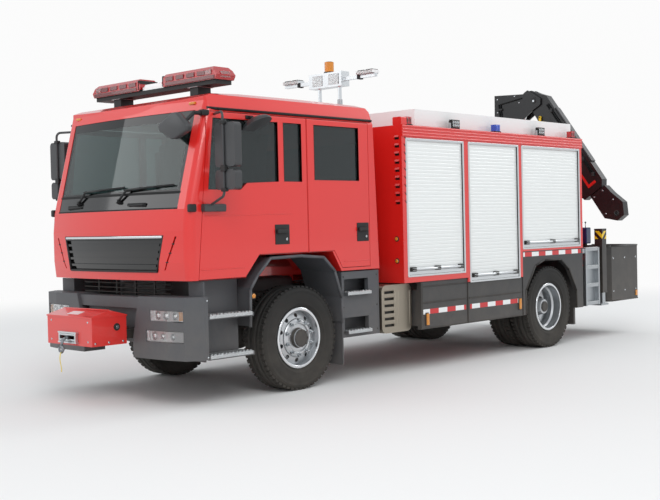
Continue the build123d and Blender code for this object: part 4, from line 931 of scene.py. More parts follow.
class TRUCK_OT_mirrors(bpy.types.Operator):
    """Mirror glasses, the ramp mirror before the windscreen and the kerb mirror over the door"""
    bl_idname = "truck.mirrors"
    bl_label = "Mirrors"

    def execute(self, context):
        for side, s in SIDES.items():
            piece = bmesh.new()
            put(piece, cuboid((1.080, 1.240, 2.215), (1.087, 1.460, 2.565), 0.003), 0)
            put(piece, cuboid((1.080, 1.240, 2.010), (1.087, 1.455, 2.145), 0.003), 0)
            for z0, z1 in ((2.205, 2.575), (2.000, 2.155)):
                put(piece, cuboid((1.086, 1.228, z0), (1.096, 1.472, z1), 0.010), 1)
            for z in (1.985, 2.165, 2.190, 2.590):
                put(piece, cuboid((1.150, 1.310, z - 0.018), (1.196, 1.372, z + 0.018), 0.008), 1)
            on_side(piece, s)
            stand(f"mirror_glass_{side}", piece, f"front_door_{side}", "mirror_glass", "matt_black")
        # The ramp mirror hangs ahead of the glass from an arm on the left pillar
        piece = bmesh.new()
        shell = [(0.705, 2.600), (0.915, 2.700), (0.985, 2.700), (1.135, 2.570), (1.120, 2.520), (0.945, 2.458),
                 (0.880, 2.462), (0.725, 2.545)]
        put(piece, slab(shell, "X", 1.350, 1.425, 0.018), 0, True)
        inner = [(0.745, 2.595), (0.920, 2.676), (0.980, 2.676), (1.105, 2.566), (1.094, 2.535), (0.940, 2.484)]
        put(piece, slab(inner, "X", 1.346, 1.352, 0.001), 1)
        put(piece, rod((1.190, 1.075, 2.700), (1.300, 1.085, 2.690), 0.022, 0.018, 16, 0.003), 2, True)
        put(piece, rod((1.300, 1.085, 2.690), (1.375, 1.060, 2.615), 0.018, 0.015, 16, 0.003), 2, True)
        put(piece, cuboid((1.130, 1.040, 2.672), (1.215, 1.112, 2.728), 0.014, 3), 2)
        stand("ramp_mirror", piece, "truck", "mirror_shell", "mirror_glass", "matt_black")
        piece = bmesh.new()
        put(piece, dome((0.650, 1.225, 2.600), (0.105, 0.185, 0.075), (0, -0.35, 1), 8), 0, True)
        put(piece, rod((0.650, 1.118, 2.684), (0.650, 1.200, 2.650), 0.016, 0.013, 16, 0.002), 1, True)
        put(piece, cuboid((0.600, 1.118, 2.664), (0.700, 1.128, 2.700), 0.004), 1)
        stand("kerb_mirror", piece, "front_door_left", "mirror_shell", "matt_black")
        return {"FINISHED"}


class TRUCK_OT_head_lamps(bpy.types.Operator):
    """Reflectors and bulbs behind the clear lenses of the head and fog lamps"""
    bl_idname = "truck.head_lamps"
    bl_label = "Head lamps"

    def execute(self, context):
        dressed_copy("lamp_lenses", "front_lamps", "truck", ["clear"], lambda p: 0)
        piece = bmesh.new()
        for y, z, size in ((0.735, 0.848, 0.040), (0.845, 0.848, 0.040), (0.960, 0.848, 0.034), (0.680, 0.658,
                                                                                                 0.040),
                           (0.800, 0.658, 0.034), (0.930, 0.658, 0.030)):
            ring = [(1.458, size), (1.462, size + 0.003), (1.470, size), (1.464, size - 0.006)]
            put(piece, turned([(x, y + r, z) for x, r in ring], (0, y, z), (1, 0, 0), 32), 0, True)
            put(piece, dome((1.458, y, z), (size - 0.006, size - 0.006, 0.018), (1, 0, 0), 8), 0, True)
        for z0, z1 in ((0.802, 0.893), (0.612, 0.705)):
            put(piece, cuboid((1.4555, 0.610 if z0 < 0.7 else 0.668, z0), (1.4580, 1.080, z1), 0), 1)
        put(piece, cuboid((1.457, 1.010, 0.806), (1.466, 1.070, 0.889), 0.004), 2)
        mirrored(piece)
        stand("lamp_reflectors", piece, "truck", "chrome", "bright", "amber")
        return {"FINISHED"}


class TRUCK_OT_warning_lamps(bpy.types.Operator):
    """Light bar, roof beacons and work lamps"""
    bl_idname = "truck.warning_lamps"
    bl_label = "Warning lamps"

    def bar_finish(self, p):
        if p.x > 0:
            if p.z < 3.042:
                return 3
            return 0 if abs(p.y) > 0.172 else 4
        if abs(p.x + 3.330) < 0.1:
            return 1
        return 3 if abs(p.x + 2.500) < 0.1 or abs(p.x + 4.330) < 0.1 else 0

    def execute(self, context):
        dressed_copy("beacon_housings", "warning_lamps", "truck",
                     ["red_lens", "blue_lens", "dark_lens", "matt_black", "white"], self.bar_finish)
        piece = bmesh.new()
        # Dark belt, clear end lenses, caps and clamps of the light bar
        for s in (1, -1):
            put(piece, cuboid((0.694, s * 0.600 - 0.370, 3.044), (0.946, s * 0.600 + 0.370, 3.082), 0.006), 0)
            for y in (0.30, 0.46, 0.62, 0.78):
                put(piece, cuboid((0.940, s * y - 0.060, 3.090), (0.948, s * y + 0.060, 3.132), 0.004), 0)
            put(piece, cuboid((0.936, s * 0.885 - 0.045, 3.088), (0.949, s * 0.885 + 0.045, 3.134), 0.005), 1)
            put(piece, cuboid((0.760, s * 0.972 - 0.020, 3.060), (0.880, s * 0.972 + 0.022, 3.120), 0.006), 1)
            put(piece, cuboid((0.720, s * 0.620 - 0.075, 2.996), (0.920, s * 0.620 + 0.075, 3.004), 0.003), 2)
            put(piece, cuboid((0.700, s * 0.198 - 0.020, 3.042), (0.940, s * 0.198 + 0.010, 3.150), 0.008), 3)
        put(piece, slab([(-0.165, 3.070), (-0.140, 3.100), (0.140, 3.100), (0.165, 3.070)], "X", 0.735, 0.905,
                        0.006), 4)
        # Feet, caps and faces of the lamps along the gutters
        rim = bmesh.new()
        for x in (-1.620, -3.330, -5.080):
            put(rim, cuboid((x - 0.055, 1.152, 2.712), (x + 0.055, 1.238, 2.730), 0.004), 3)
            for dx in (-0.024, 0.024):
                put(rim, dome((x + dx, 1.229, 2.770), (0.020, 0.030, 0.005), (0, 1, 0), 5),
                    0 if x != -3.330 else 5, True)
        for x in (-2.500, -4.330):
            put(rim, cuboid((x - 0.066, 1.2145, 2.735), (x + 0.066, 1.2190, 2.812), 0.002), 1)
            for i in range(4):
                for z in (2.755, 2.790):
                    put(rim, dome((x - 0.048 + i * 0.032, 1.2185, z), (0.012, 0.012, 0.004), (0, 1, 0), 4), 2,
                        True)
            put(rim, cuboid((x - 0.088, 1.182, 2.712), (x - 0.078, 1.208, 2.785), 0.002), 2)
            put(rim, cuboid((x + 0.078, 1.182, 2.712), (x + 0.088, 1.208, 2.785), 0.002), 2)
            for i in range(5):
                put(rim, cuboid((x - 0.068, 1.160, 2.738 + i * 0.016), (x + 0.068, 1.176, 2.744 + i * 0.016),
                                0.001), 3)
        mirrored(rim)
        join(piece, rim)
        stand("lamp_details", piece, "truck", "dark_lens", "clear", "nut", "matt_black", "white", "blue_lens")
        return {"FINISHED"}


class TRUCK_OT_mast(bpy.types.Operator):
    """Lamp faces, cooling fins, clamps and beacon base of the light mast, and the roof deck's near-white
    parapet, a painted highlight on its aluminium
    """
    bl_idname = "truck.mast"
    bl_label = "Light mast"

    def mast_finish(self, p):
        if p.z > 3.425:
            return 1
        if p.z < 3.249:
            return 2
        return 3 if abs(p.y) > 0.47 and p.z > 3.352 else 0

    def execute(self, context):
        dressed_copy("mast_head_finish", "mast_head", "mast", ["bright", "amber", "chrome", "white"],
                     self.mast_finish)
        x = -1.680
        piece = bmesh.new()
        for s in (1, -1):
            for y in (0.530, 0.655):
                put(piece, cuboid((x - 0.052, s * y - 0.052, 3.3435), (x + 0.052, s * y + 0.052, 3.3515),
                                  0.002), 0)
                put(piece, cuboid((x + 0.060, s * y - 0.055, 3.352), (x + 0.066, s * y + 0.055, 3.384), 0.002),
                    0)
                for i in range(4):
                    fin = x - 0.050 + i * 0.028
                    put(piece, cuboid((fin, s * y - 0.050, 3.386), (fin + 0.010, s * y + 0.050, 3.396), 0.002),
                        1)
            put(piece, cuboid((x - 0.036, s * 0.480 - 0.020, 3.300), (x + 0.036, s * 0.480 + 0.020, 3.356),
                              0.004), 1)
            put(piece, cuboid((x + 0.068, s * 0.130 - 0.080, 3.275), (x + 0.076, s * 0.130 + 0.080, 3.395),
                              0.004), 0)
        put(piece, rod((x, 0, 3.416), (x, 0, 3.436), 0.064, sides=32, bevel=0.004), 1)
        put(piece, rod((x, 0, 3.548), (x, 0, 3.556), 0.050, 0.040, 32, 0.003), 1)
        stand("mast_lamps", piece, "mast", "clear", "matt_black")
        # The roof deck's aluminium parapet is given near-white plastic, a painted highlight for how brightly it
        # is lit; the mast base stays aluminium
        dressed_copy("roof_deck_with_painted_highlight", "roof_deck", "truck", ["white", "aluminium"],
                     lambda p: 1 if p.x > -1.80 else 0)
        return {"FINISHED"}


class TRUCK_OT_steps(bpy.types.Operator):
    """Punched step treads, lips and side marker lamps on the arches, and bolts on the skirts"""
    bl_idname = "truck.steps"
    bl_label = "Steps and arches"

    def execute(self, context):
        piece = bmesh.new()
        for x0, x1, y1, z in ((0.735, 1.262, 1.192, 0.841), (0.735, 1.262, 1.192, 0.473),
                              (-1.015, -0.645, 1.162, 0.933), (-1.015, -0.645, 1.162, 0.530)):
            put(piece, cuboid((x0, y1 - 0.185, z - 0.001), (x1, y1, z + 0.008), 0.003), 0)
            put(piece, cuboid((x0, y1 - 0.010, z - 0.026), (x1, y1 + 0.003, z + 0.006), 0.003), 0)
            count = int((x1 - x0) / 0.042)
            for i in range(count):
                x = x0 + (i + 0.5) * (x1 - x0) / count
                put(piece, dome((x, y1 - 0.016, z + 0.008), (0.013, 0.011, 0.008), (0, 0, 1), 4), 0, True)
                put(piece, dome((x, y1 - 0.060, z + 0.008), (0.013, 0.011, 0.006), (0, 0, 1), 4), 0, True)
        # A lip round the arch, a marker lamp on its front leg and bolts on the skirts
        arch = [(-0.590, 0.640), (-0.590, 0.900), (-0.490, 1.180), (-0.330, 1.325), (0, 1.352), (0.420, 1.345),
                (0.600, 1.180), (0.690, 1.060), (0.700, 0.700)]
        for (xa, za), (xb, zb) in zip(arch, arch[1:]):
            put(piece, rod((xa, 1.122, za - 0.010), (xb, 1.122, zb - 0.010), 0.016, sides=12), 1, True)
        put(piece, rod((0.660, 1.115, 0.985), (0.660, 1.136, 0.985), 0.034, 0.030, 28, 0.003), 2)
        put(piece, dome((0.660, 1.134, 0.985), (0.024, 0.024, 0.012), (0, 1, 0), 6), 3, True)
        for x in (-1.160, -0.630):
            for z in (0.52, 0.78, 1.10):
                put(piece, dome((x, 1.109, z), (0.010, 0.010, 0.005), (0, 1, 0), 4), 2, True)
        mirrored(piece)
        stand("step_treads_and_arch_lips", piece, "truck", "step", "grey", "matt_black", "amber")
        return {"FINISHED"}


class TRUCK_OT_bumper_trim(bpy.types.Operator):
    """Lamp frames, tow-eye covers, bolts and the bars of the opening over the bumper"""
    bl_idname = "truck.bumper_trim"
    bl_label = "Bumper trim"

    def execute(self, context):
        piece = bmesh.new()
        # Frames round the lamp recesses
        for y0, z0, z1 in ((0.660, 0.795, 0.900), (0.600, 0.605, 0.712)):
            for z in (z0 - 0.004, z1 - 0.004):
                put(piece, slab([(1.500, y0 + 0.300), (1.5225, y0 + 0.010), (1.529, y0 + 0.010),
                                 (1.509, y0 + 0.300)],
                                "Z", z, z + 0.008, 0.002), 0)
        put(piece, rod((1.497, 0.535, 0.560), (1.503, 0.535, 0.560), 0.030, sides=28, bevel=0.002), 1)
        for z in (0.470, 0.985):
            put(piece, dome((1.300, 1.206, z), (0.010, 0.010, 0.005), (0, 1, 0), 4), 2, True)
        mirrored(piece)
        # Bars of the opening between the cab and the bumper
        for z in (1.030, 1.075, 1.120):
            put(piece, rod((1.300, -0.700, z), (1.300, 0.700, z), 0.009, sides=12), 1, True)
        for y in (-0.45, -0.15, 0.15, 0.45):
            put(piece, cuboid((1.290, y - 0.010, 1.010), (1.310, y + 0.010, 1.160), 0.003), 1)
        stand("bumper_trim", piece, "truck", "grey", "matt_black", "nut")
        return {"FINISHED"}


class TRUCK_OT_winch(bpy.types.Operator):
    """Roller fairlead, drum rope, hook with its webbing, side port, bolts and the lid's catch"""
    bl_idname = "truck.winch"
    bl_label = "Winch"

    def box_finish(self, p):
        if p.x > 1.9655:
            return 1
        return 2 if 1.68 < p.x < 1.87 and abs(p.y) < 0.352 and p.z > 0.60 else 0

    def execute(self, context):
        dressed_copy("winch_box_finish", "winch_box", "truck", ["red", "bright", "iron"], self.box_finish)
        piece = bmesh.new()
        # Turns of rope on the drum
        for i in range(26):
            y = -0.170 + i * 0.0136
            section = [(0.064 + 0.0062 * math.cos(math.pi * k / 3), 0.0062 * math.sin(math.pi * k / 3))
                       for k in range(6)]
            put(piece, spun(section, (1.772, y, 0.700), 28), 2, True)
        # Ferrule and hook, drawn up against the rollers
        put(piece, rod((1.940, 0.0, 0.652), (2.010, 0.0, 0.648), 0.013, sides=20, bevel=0.003), 1, True)
        for start, end, r0, r1 in (((2.010, 0, 0.648), (2.035, -0.012, 0.628), 0.014, 0.016),
                                   ((2.035, -0.012, 0.628), (2.045, -0.016, 0.580), 0.016, 0.013),
                                   ((2.045, -0.016, 0.580), (2.045, 0.012, 0.545), 0.013, 0.015),
                                   ((2.045, 0.012, 0.545), (2.045, -0.010, 0.518), 0.015, 0.014),
                                   ((2.045, -0.010, 0.518), (2.045, -0.046, 0.526), 0.014, 0.011),
                                   ((2.045, -0.046, 0.526), (2.045, -0.058, 0.558), 0.011, 0.008)):
            put(piece, rod(start, end, r0, r1, 16), 1, True)
            put(piece, dome(end, (r1, r1, r1), (0, 0, 1), 5), 1, True)
            put(piece, dome(end, (r1, r1, r1), (0, 0, -1), 5), 1, True)
        put(piece, rod((2.036, -0.028, 0.580), (2.045, -0.050, 0.556), 0.005, sides=10), 1, True)
        # Side port with its black ring, bolt heads and the catch
        for s in (1, -1):
            put(piece, rod((1.690, s * 0.364, 0.742), (1.690, s * 0.374, 0.742), 0.036, 0.032, 32, 0.003), 3)
            put(piece, rod((1.690, s * 0.373, 0.742), (1.690, s * 0.376, 0.742), 0.018, sides=24), 4)
            for x in (1.620, 1.780, 1.930):
                put(piece, dome((x, s * 0.365, 0.605), (0.011, 0.011, 0.006), (0, s, 0), 5), 4, True)
            put(piece, dome((1.965, s * 0.300, 0.800), (0.010, 0.010, 0.006), (1, 0, 0), 5), 4, True)
            put(piece, dome((1.965, s * 0.300, 0.620), (0.010, 0.010, 0.006), (1, 0, 0), 5), 4, True)
        stand("winch_details", piece, "truck", "red", "rope", "rope", "seal", "nut")
        # A yellow webbing strap, sewn to the hook so that a hand stays clear of the rollers
        strap = bmesh.new()
        bmesh.ops.create_grid(strap, x_segments=4, y_segments=16, size=0.5)
        bmesh.ops.scale(strap, vec=(0.034, 0.19, 1), verts=strap.verts)
        bmesh.ops.rotate(strap, cent=(0, 0, 0), matrix=Matrix.Rotation(math.pi / 2, 3, "X"), verts=strap.verts)
        bmesh.ops.rotate(strap, cent=(0, 0, 0), matrix=Matrix.Rotation(math.radians(70), 3, "Z"),
                         verts=strap.verts)
        for vert in strap.verts:
            drop = 0.095 - vert.co.z
            vert.co.x += 0.010 * math.sin(drop * 26)
            vert.co.y -= 0.35 * drop * drop
        bmesh.ops.translate(strap, vec=row(2.056, -0.014, 0.425), verts=strap.verts)
        bmesh.ops.solidify(strap, geom=strap.faces[:], thickness=0.002)
        for face in strap.faces:
            face.smooth = True
        webbing = stand("hook_strap", strap, "truck", "strap")
        lid = bmesh.new()
        ridge_z = 0.8375 + 0.066
        put(lid, rod((1.7725, -0.366, ridge_z - 0.002), (1.7725, 0.366, ridge_z - 0.002), 0.006, sides=12), 0,
            True)
        for y in (-0.250, 0.250):
            put(lid, rod((1.576, y - 0.040, 0.846), (1.576, y + 0.040, 0.846), 0.008, sides=14, bevel=0.001), 1,
                True)
            put(lid, dome((1.720, y, ridge_z - 0.012), (0.009, 0.009, 0.006), (-0.25, 0, 1), 4), 1, True)
        put(lid, slab([(1.850, 0.884), (1.925, 0.863), (1.925, 0.865), (1.850, 0.886)], "Y", -0.09, 0.09,
                      0.0004), 2)
        stand("winch_lid_fittings", lid, "lid", "red", "nut", "white")
        return {"FINISHED"}


class TRUCK_OT_interior(bpy.types.Operator):
    """Seats in cloth, dashboard and wheel in black plastic, gauges and head restraints"""
    bl_idname = "truck.interior"
    bl_label = "Cab interior"

    def execute(self, context):
        dressed_copy("cab_interior_finish", "cab_interior", "truck", ["cloth", "matt_black"],
                     lambda p: 1 if p.x > 0.72 else 0)
        piece = bmesh.new()
        for y in (-0.560, 0.560):
            put(piece, cuboid((0.120, y - 0.150, 2.500), (0.225, y + 0.150, 2.690), 0.040, 3), 0, True)
            for dy in (-0.200, 0.200):
                put(piece, cuboid((0.170, y + dy - 0.045, 1.850), (0.300, y + dy + 0.045, 2.480), 0.030, 3), 0,
                    True)
        put(piece, cuboid((0.960, 0.380, 1.860), (1.060, 0.740, 1.930), 0.020, 3), 1, True)
        put(piece, cuboid((0.930, -0.180, 1.560), (0.975, 0.180, 1.860), 0.015, 2), 1)
        for y in (0.480, 0.640):
            put(piece, rod((0.962, y, 1.882), (0.950, y, 1.890), 0.042, sides=28), 2)
        stand("seat_pads_and_gauges", piece, "truck", "cloth", "matt_black", "white")
        return {"FINISHED"}


class TRUCK_OT_silencer(bpy.types.Operator):
    """Ribs, straps and dark slots of the silencer and the fuel tank"""
    bl_idname = "truck.silencer"
    bl_label = "Silencer and tank"

    def execute(self, context):
        piece = bmesh.new()
        for i in range(6):
            z = 0.520 + i * 0.072
            put(piece, cuboid((-1.419, 1.1085, z + 0.001), (-1.261, 1.1120, z + 0.031), 0), 1)
            put(piece, cuboid((-1.424, 1.126, z + 0.030), (-1.256, 1.136, z + 0.036), 0.002), 0)
        for x in (-1.240, -1.450, -1.500, -1.690):
            put(piece, rod((x, 1.126, 0.530), (x, 1.126, 0.900), 0.008, sides=12, bevel=0.002), 0, True)
        for x in (-1.300, -1.640):
            put(piece, cuboid((x - 0.022, -1.136, 0.540), (x + 0.022, -1.128, 0.880), 0.003), 2)
            put(piece, cuboid((x - 0.022, -1.050, 0.958), (x + 0.022, -0.640, 0.966), 0.003), 2)
        put(piece, rod((-1.330, -1.000, 0.992), (-1.330, -1.000, 1.014), 0.052, 0.048, 32, 0.004), 2)
        stand("silencer_ribs", piece, "truck", "stainless", "seal", "matt_black")
        return {"FINISHED"}


class TRUCK_OT_rear(bpy.types.Operator):
    """Ladder treads, locker rims, tail lamps, control box and the bands on the stabilisers"""
    bl_idname = "truck.rear"
    bl_label = "Rear end"

    def execute(self, context):
        piece = bmesh.new()
        put(piece, cuboid((-5.700, 1.166, 0.500), (-5.360, 1.172, 1.200), 0.002), 0)
        for i in range(4):
            z = 0.512 + i * 0.245
            put(piece, cuboid((-5.690, 1.150, z - 0.004), (-5.370, 1.238, z + 0.006), 0.003), 1)
            for k in range(8):
                put(piece, dome((-5.670 + k * 0.040, 1.222, z + 0.006), (0.011, 0.009, 0.005), (0, 0, 1), 4), 1,
                    True)
        # Rolled rims, bolts and corner straps of the side lockers
        for a, b in (((-6.810, 1.228), (-6.060, 1.228)), ((-6.866, 0.470), (-6.866, 1.168)),
                     ((-6.004, 0.470), (-6.004, 1.168)), ((-6.866, 1.168), (-6.810, 1.228)),
                     ((-6.004, 1.168), (-6.060, 1.228))):
            put(piece, rod((*a, 1.250), (*b, 1.250), 0.012, sides=12), 2, True)
            put(piece, rod((*a, 0.486), (*b, 0.486), 0.009, sides=10), 2, True)
        for x in (-6.760, -6.435, -6.110):
            for z in (0.62, 1.08):
                put(piece, dome((x, 1.229, z), (0.013, 0.013, 0.007), (0, 1, 0), 5), 3, True)
        put(piece, cuboid((-6.800, 1.228, 0.520), (-6.740, 1.240, 0.600), 0.005), 5)
        # Tail lamps in their housings
        put(piece, cuboid((-6.896, 0.560, 0.590), (-6.868, 1.120, 0.720), 0.008), 6)
        for y0, y1, key in ((0.580, 0.740, 4), (0.755, 0.915, 5), (0.930, 1.100, 4)):
            put(piece, cuboid((-6.904, y0, 0.605), (-6.890, y1, 0.705), 0.006), key)
        put(piece, cuboid((-6.884, 1.090, 1.150), (-6.866, 1.160, 1.240), 0.005), 4)
        put(piece, cuboid((-6.874, 0.520, 0.880), (-6.869, 1.160, 0.960), 0.001), 7)
        mirrored(piece)
        # A blank plate on the tail beam
        put(piece, cuboid((-6.880, -0.260, 0.575), (-6.871, 0.260, 0.600), 0.002), 6)
        # Control box of the crane on the front rim of the left locker
        put(piece, cuboid((-6.090, 0.560, 1.290), (-5.960, 0.900, 1.520), 0.014, 3), 8)
        put(piece, cuboid((-6.050, 0.600, 1.240), (-6.000, 0.860, 1.300), 0.006), 6)
        for i in range(5):
            put(piece, rod((-6.025, 0.610 + i * 0.060, 1.515), (-6.025, 0.610 + i * 0.060, 1.590), 0.006,
                           sides=12), 3, True)
            put(piece, dome((-6.025, 0.610 + i * 0.060, 1.585), (0.014, 0.014, 0.018), (0, 0, 1), 5), 6, True)
        stand("rear_end_fittings", piece, "truck", "aluminium", "step", "crane", "nut", "red_lens", "amber",
              "matt_black", "tape", "blue_box")
        for side, s in SIDES.items():
            band = bmesh.new()
            put(band, cuboid((-5.8895, 1.1305, 1.360), (-5.7705, 1.2495, 1.470), 0.001), 0)
            put(band, cuboid((-5.892, 1.128, 1.478), (-5.768, 1.252, 1.502), 0.004), 1)
            put(band, cuboid((-5.892, 1.128, 0.618), (-5.768, 1.252, 0.640), 0.004), 1)
            bmesh.ops.bisect_plane(band, geom=all_of(band),
                                   plane_co=row(0, 1.19, 1.40), plane_no=(0, 0, 1))
            on_side(band, s)
            stand(f"stabiliser_band_{side}", band, f"outrigger_{side}", "hazard", "crane")
        return {"FINISHED"}


class TRUCK_OT_crane(bpy.types.Operator):
    """Pin heads, pipes, stripe, a grey strip painted as the sky's highlight on the outer boom, hooks, bolt ring
    and cylinder glands of the folded crane
    """
    bl_idname = "truck.crane"
    bl_label = "Crane"

    # Pins of the folded crane as (y, z), and the outer boom's slope in degrees
    KNUCKLE = (-0.140, 3.420)
    LIFT_FOOT = (0.240, 1.470)
    LIFT_EYE = (-0.310, 2.450)
    FOLD_FOOT = (-0.680, 2.520)
    COLUMN_HEAD = (-0.560, 2.150)
    ANGLE = -55.4

    def on_outer(self, s, h=0.0):
        """A (y, z) point s along the outer boom and h to its upper side."""
        a = math.radians(self.ANGLE)
        return (self.KNUCKLE[0] + s * math.cos(a) - h * math.sin(a),
                self.KNUCKLE[1] + s * math.sin(a) + h * math.cos(a))

    def pin_heads(self, piece, y, z, half, radius=0.036):
        for s in (1, -1):
            x = CRANE_X + s * half
            put(piece, rod((x - s * 0.002, y, z), (x + s * 0.010, y, z), radius, sides=28, bevel=0.002), 0)
            put(piece, rod((x + s * 0.010, y, z), (x + s * 0.018, y, z), radius * 0.5, sides=6, bevel=0.001), 1)
            put(piece, cuboid((x - 0.004, y - 0.030, z + radius), (x + 0.004, y + 0.030, z + radius + 0.020),
                              0.002), 0)

    def execute(self, context):
        outer = bmesh.new()
        self.pin_heads(outer, *self.on_outer(-0.128), 0.070)
        ends = [self.on_outer(0.95, -0.040), self.on_outer(0.95, -0.005), self.on_outer(1.560, -0.005),
                self.on_outer(1.560, 0.110), self.on_outer(1.600, 0.110), self.on_outer(1.600, -0.040)]
        for s in (1, -1):
            face = CRANE_X + s * 0.070
            low, high = sorted((face - s * 0.001, face + s * 0.0015))
            put(outer, slab(ends, "X", low, high, 0.0004), 2)
            # Two pipes with clips along the boom's side
            for k, h in enumerate((0.130, 0.155)):
                a, b = self.on_outer(0.180, h), self.on_outer(1.500, h)
                put(outer, rod((face + s * 0.014, *a), (face + s * 0.014, *b), 0.009, sides=12), 3, True)
            for along in (0.30, 0.75, 1.20, 1.48):
                y, z = self.on_outer(along, 0.1425)
                put(outer, cuboid((face - 0.004 if s > 0 else face - 0.028, y - 0.018, z - 0.030),
                                  (face + 0.028 if s > 0 else face + 0.004, y + 0.018, z + 0.030), 0.004), 0)
        # A grey strip along the upper edge, a painted highlight where the black boom's upper face catches the
        # sky, and yellow slewing hooks by the knuckle
        painted_sky_highlight = [self.on_outer(0.30, 0.200), self.on_outer(0.30, 0.222), self.on_outer(1.30, 0.230),
                 self.on_outer(1.30, 0.208)]
        put(outer, slab(painted_sky_highlight, "X", CRANE_X - 0.055, CRANE_X + 0.055, 0.004), 4)
        for along in (0.26, 0.36):
            y, z = self.on_outer(along, -0.060)
            put(outer, rod((CRANE_X + 0.068, y, z), (CRANE_X + 0.104, y, z), 0.016, sides=16, bevel=0.002), 5,
                True)
            put(outer, cuboid((CRANE_X + 0.086, y - 0.020, z - 0.110), (CRANE_X + 0.104, y + 0.020, z + 0.010),
                              0.006), 5)
            put(outer, cuboid((CRANE_X + 0.086, y - 0.020, z - 0.125), (CRANE_X + 0.104, y + 0.055, z - 0.095),
                              0.006), 5)
        stand("outer_boom_fittings", outer, "boom_outer", "iron", "nut", "red", "seal", "mirror_shell",
              "yellow")

        inner = bmesh.new()
        for y, z in (self.KNUCKLE, self.FOLD_FOOT, self.LIFT_EYE):
            self.pin_heads(inner, y, z, 0.100)
        for s in (1, -1):
            x = CRANE_X + s * 0.113
            put(inner, rod((x, -0.700, 2.700), (x, -0.760, 3.420), 0.009, sides=12), 3, True)
            put(inner, rod((x, -0.670, 2.700), (x, -0.725, 3.420), 0.009, sides=12), 3, True)
            put(inner, rod((x, -0.725, 3.420), (x, -0.350, 3.480), 0.009, sides=12), 3, True)
            for z in (2.760, 3.050, 3.340):
                y = -0.685 - (z - 2.700) * 0.08
                put(inner, cuboid((x - 0.014, y - 0.042, z - 0.014), (x + 0.013, y + 0.042, z + 0.014), 0.003),
                    0)
            for y, z in ((-0.790, 3.300), (-0.790, 3.500), (-0.480, 3.520), (-0.400, 3.420)):
                put(inner, dome((CRANE_X + s * 0.100, y, z), (0.013, 0.013, 0.008), (s, 0, 0), 5), 1, True)
        stand("inner_boom_fittings", inner, "boom_inner", "iron", "nut", "red", "seal")

        column = bmesh.new()
        for y, z in (self.COLUMN_HEAD, self.LIFT_FOOT):
            self.pin_heads(column, y, z, 0.145, 0.042)
        put(column, rod((CRANE_X, 0, 1.372), (CRANE_X, 0, 1.388), 0.306, sides=72, bevel=0.003), 3)
        ring = bmesh.new()
        put(ring, rod((CRANE_X + 0.272, 0, 1.418), (CRANE_X + 0.272, 0, 1.432), 0.013, sides=6, bevel=0.001), 1)
        ringed(ring, (CRANE_X, 0, 0), (0, 0, 1), 16)
        put(column, ring, 1)
        stand("crane_column_fittings", column, "crane_column_turn", "iron", "nut", "red", "crane")

        tip = bmesh.new()
        y, z = self.on_outer(2.150, 0.110)
        for s in (1, -1):
            near, far = CRANE_X + s * 0.070, CRANE_X + s * 0.076
            collar = [(near, y + 0.021, z), (near, y + 0.040, z), (far, y + 0.040, z), (far, y + 0.021, z)]
            put(tip, turned(collar, (CRANE_X, y, z), (1, 0, 0), 36), 0, True)
            for along, h in ((1.760, 0.120), (1.760, -0.040), (1.960, 0.180), (2.060, -0.030)):
                py, pz = self.on_outer(along, h)
                put(tip, dome((CRANE_X + s * 0.068, py, pz), (0.013, 0.013, 0.008), (s, 0, 0), 5), 1, True)
        stand("boom_tip_fittings", tip, "boom_tip", "iron", "nut")

        for body, foot, eye, length, radius in (
                ("lift_cylinder", self.LIFT_FOOT, self.LIFT_EYE, 0.640, 0.058),
                ("fold_cylinder", self.FOLD_FOOT, self.on_outer(-0.128), 0.720, 0.048)):
            gland = bmesh.new()
            way = Vector((eye[0] - foot[0], eye[1] - foot[1])).normalized()
            a = [foot[i] + way[i] * (length - 0.050) for i in (0, 1)]
            b = [foot[i] + way[i] * (length - 0.004) for i in (0, 1)]
            c = [foot[i] + way[i] * 0.120 for i in (0, 1)]
            loop_shape = rod((CRANE_X, *a), (CRANE_X, *b), radius + 0.008, sides=36, bevel=0.003)
            caps = [f for f in loop_shape.faces if len(f.verts) > 8]
            bmesh.ops.delete(loop_shape, geom=caps, context="FACES_ONLY")
            put(gland, loop_shape, 0, True)
            side = Vector((way[1], -way[0]))
            for k in (-1, 1):
                p = [c[i] + side[i] * k * (radius - 0.004) for i in (0, 1)]
                r = [c[i] + side[i] * k * (radius + 0.022) for i in (0, 1)]
                put(gland, rod((CRANE_X, *p), (CRANE_X, *r), 0.012, sides=12, bevel=0.002), 1, True)
            stand(f"{body}_gland", gland, body, "crane", "nut")
        return {"FINISHED"}


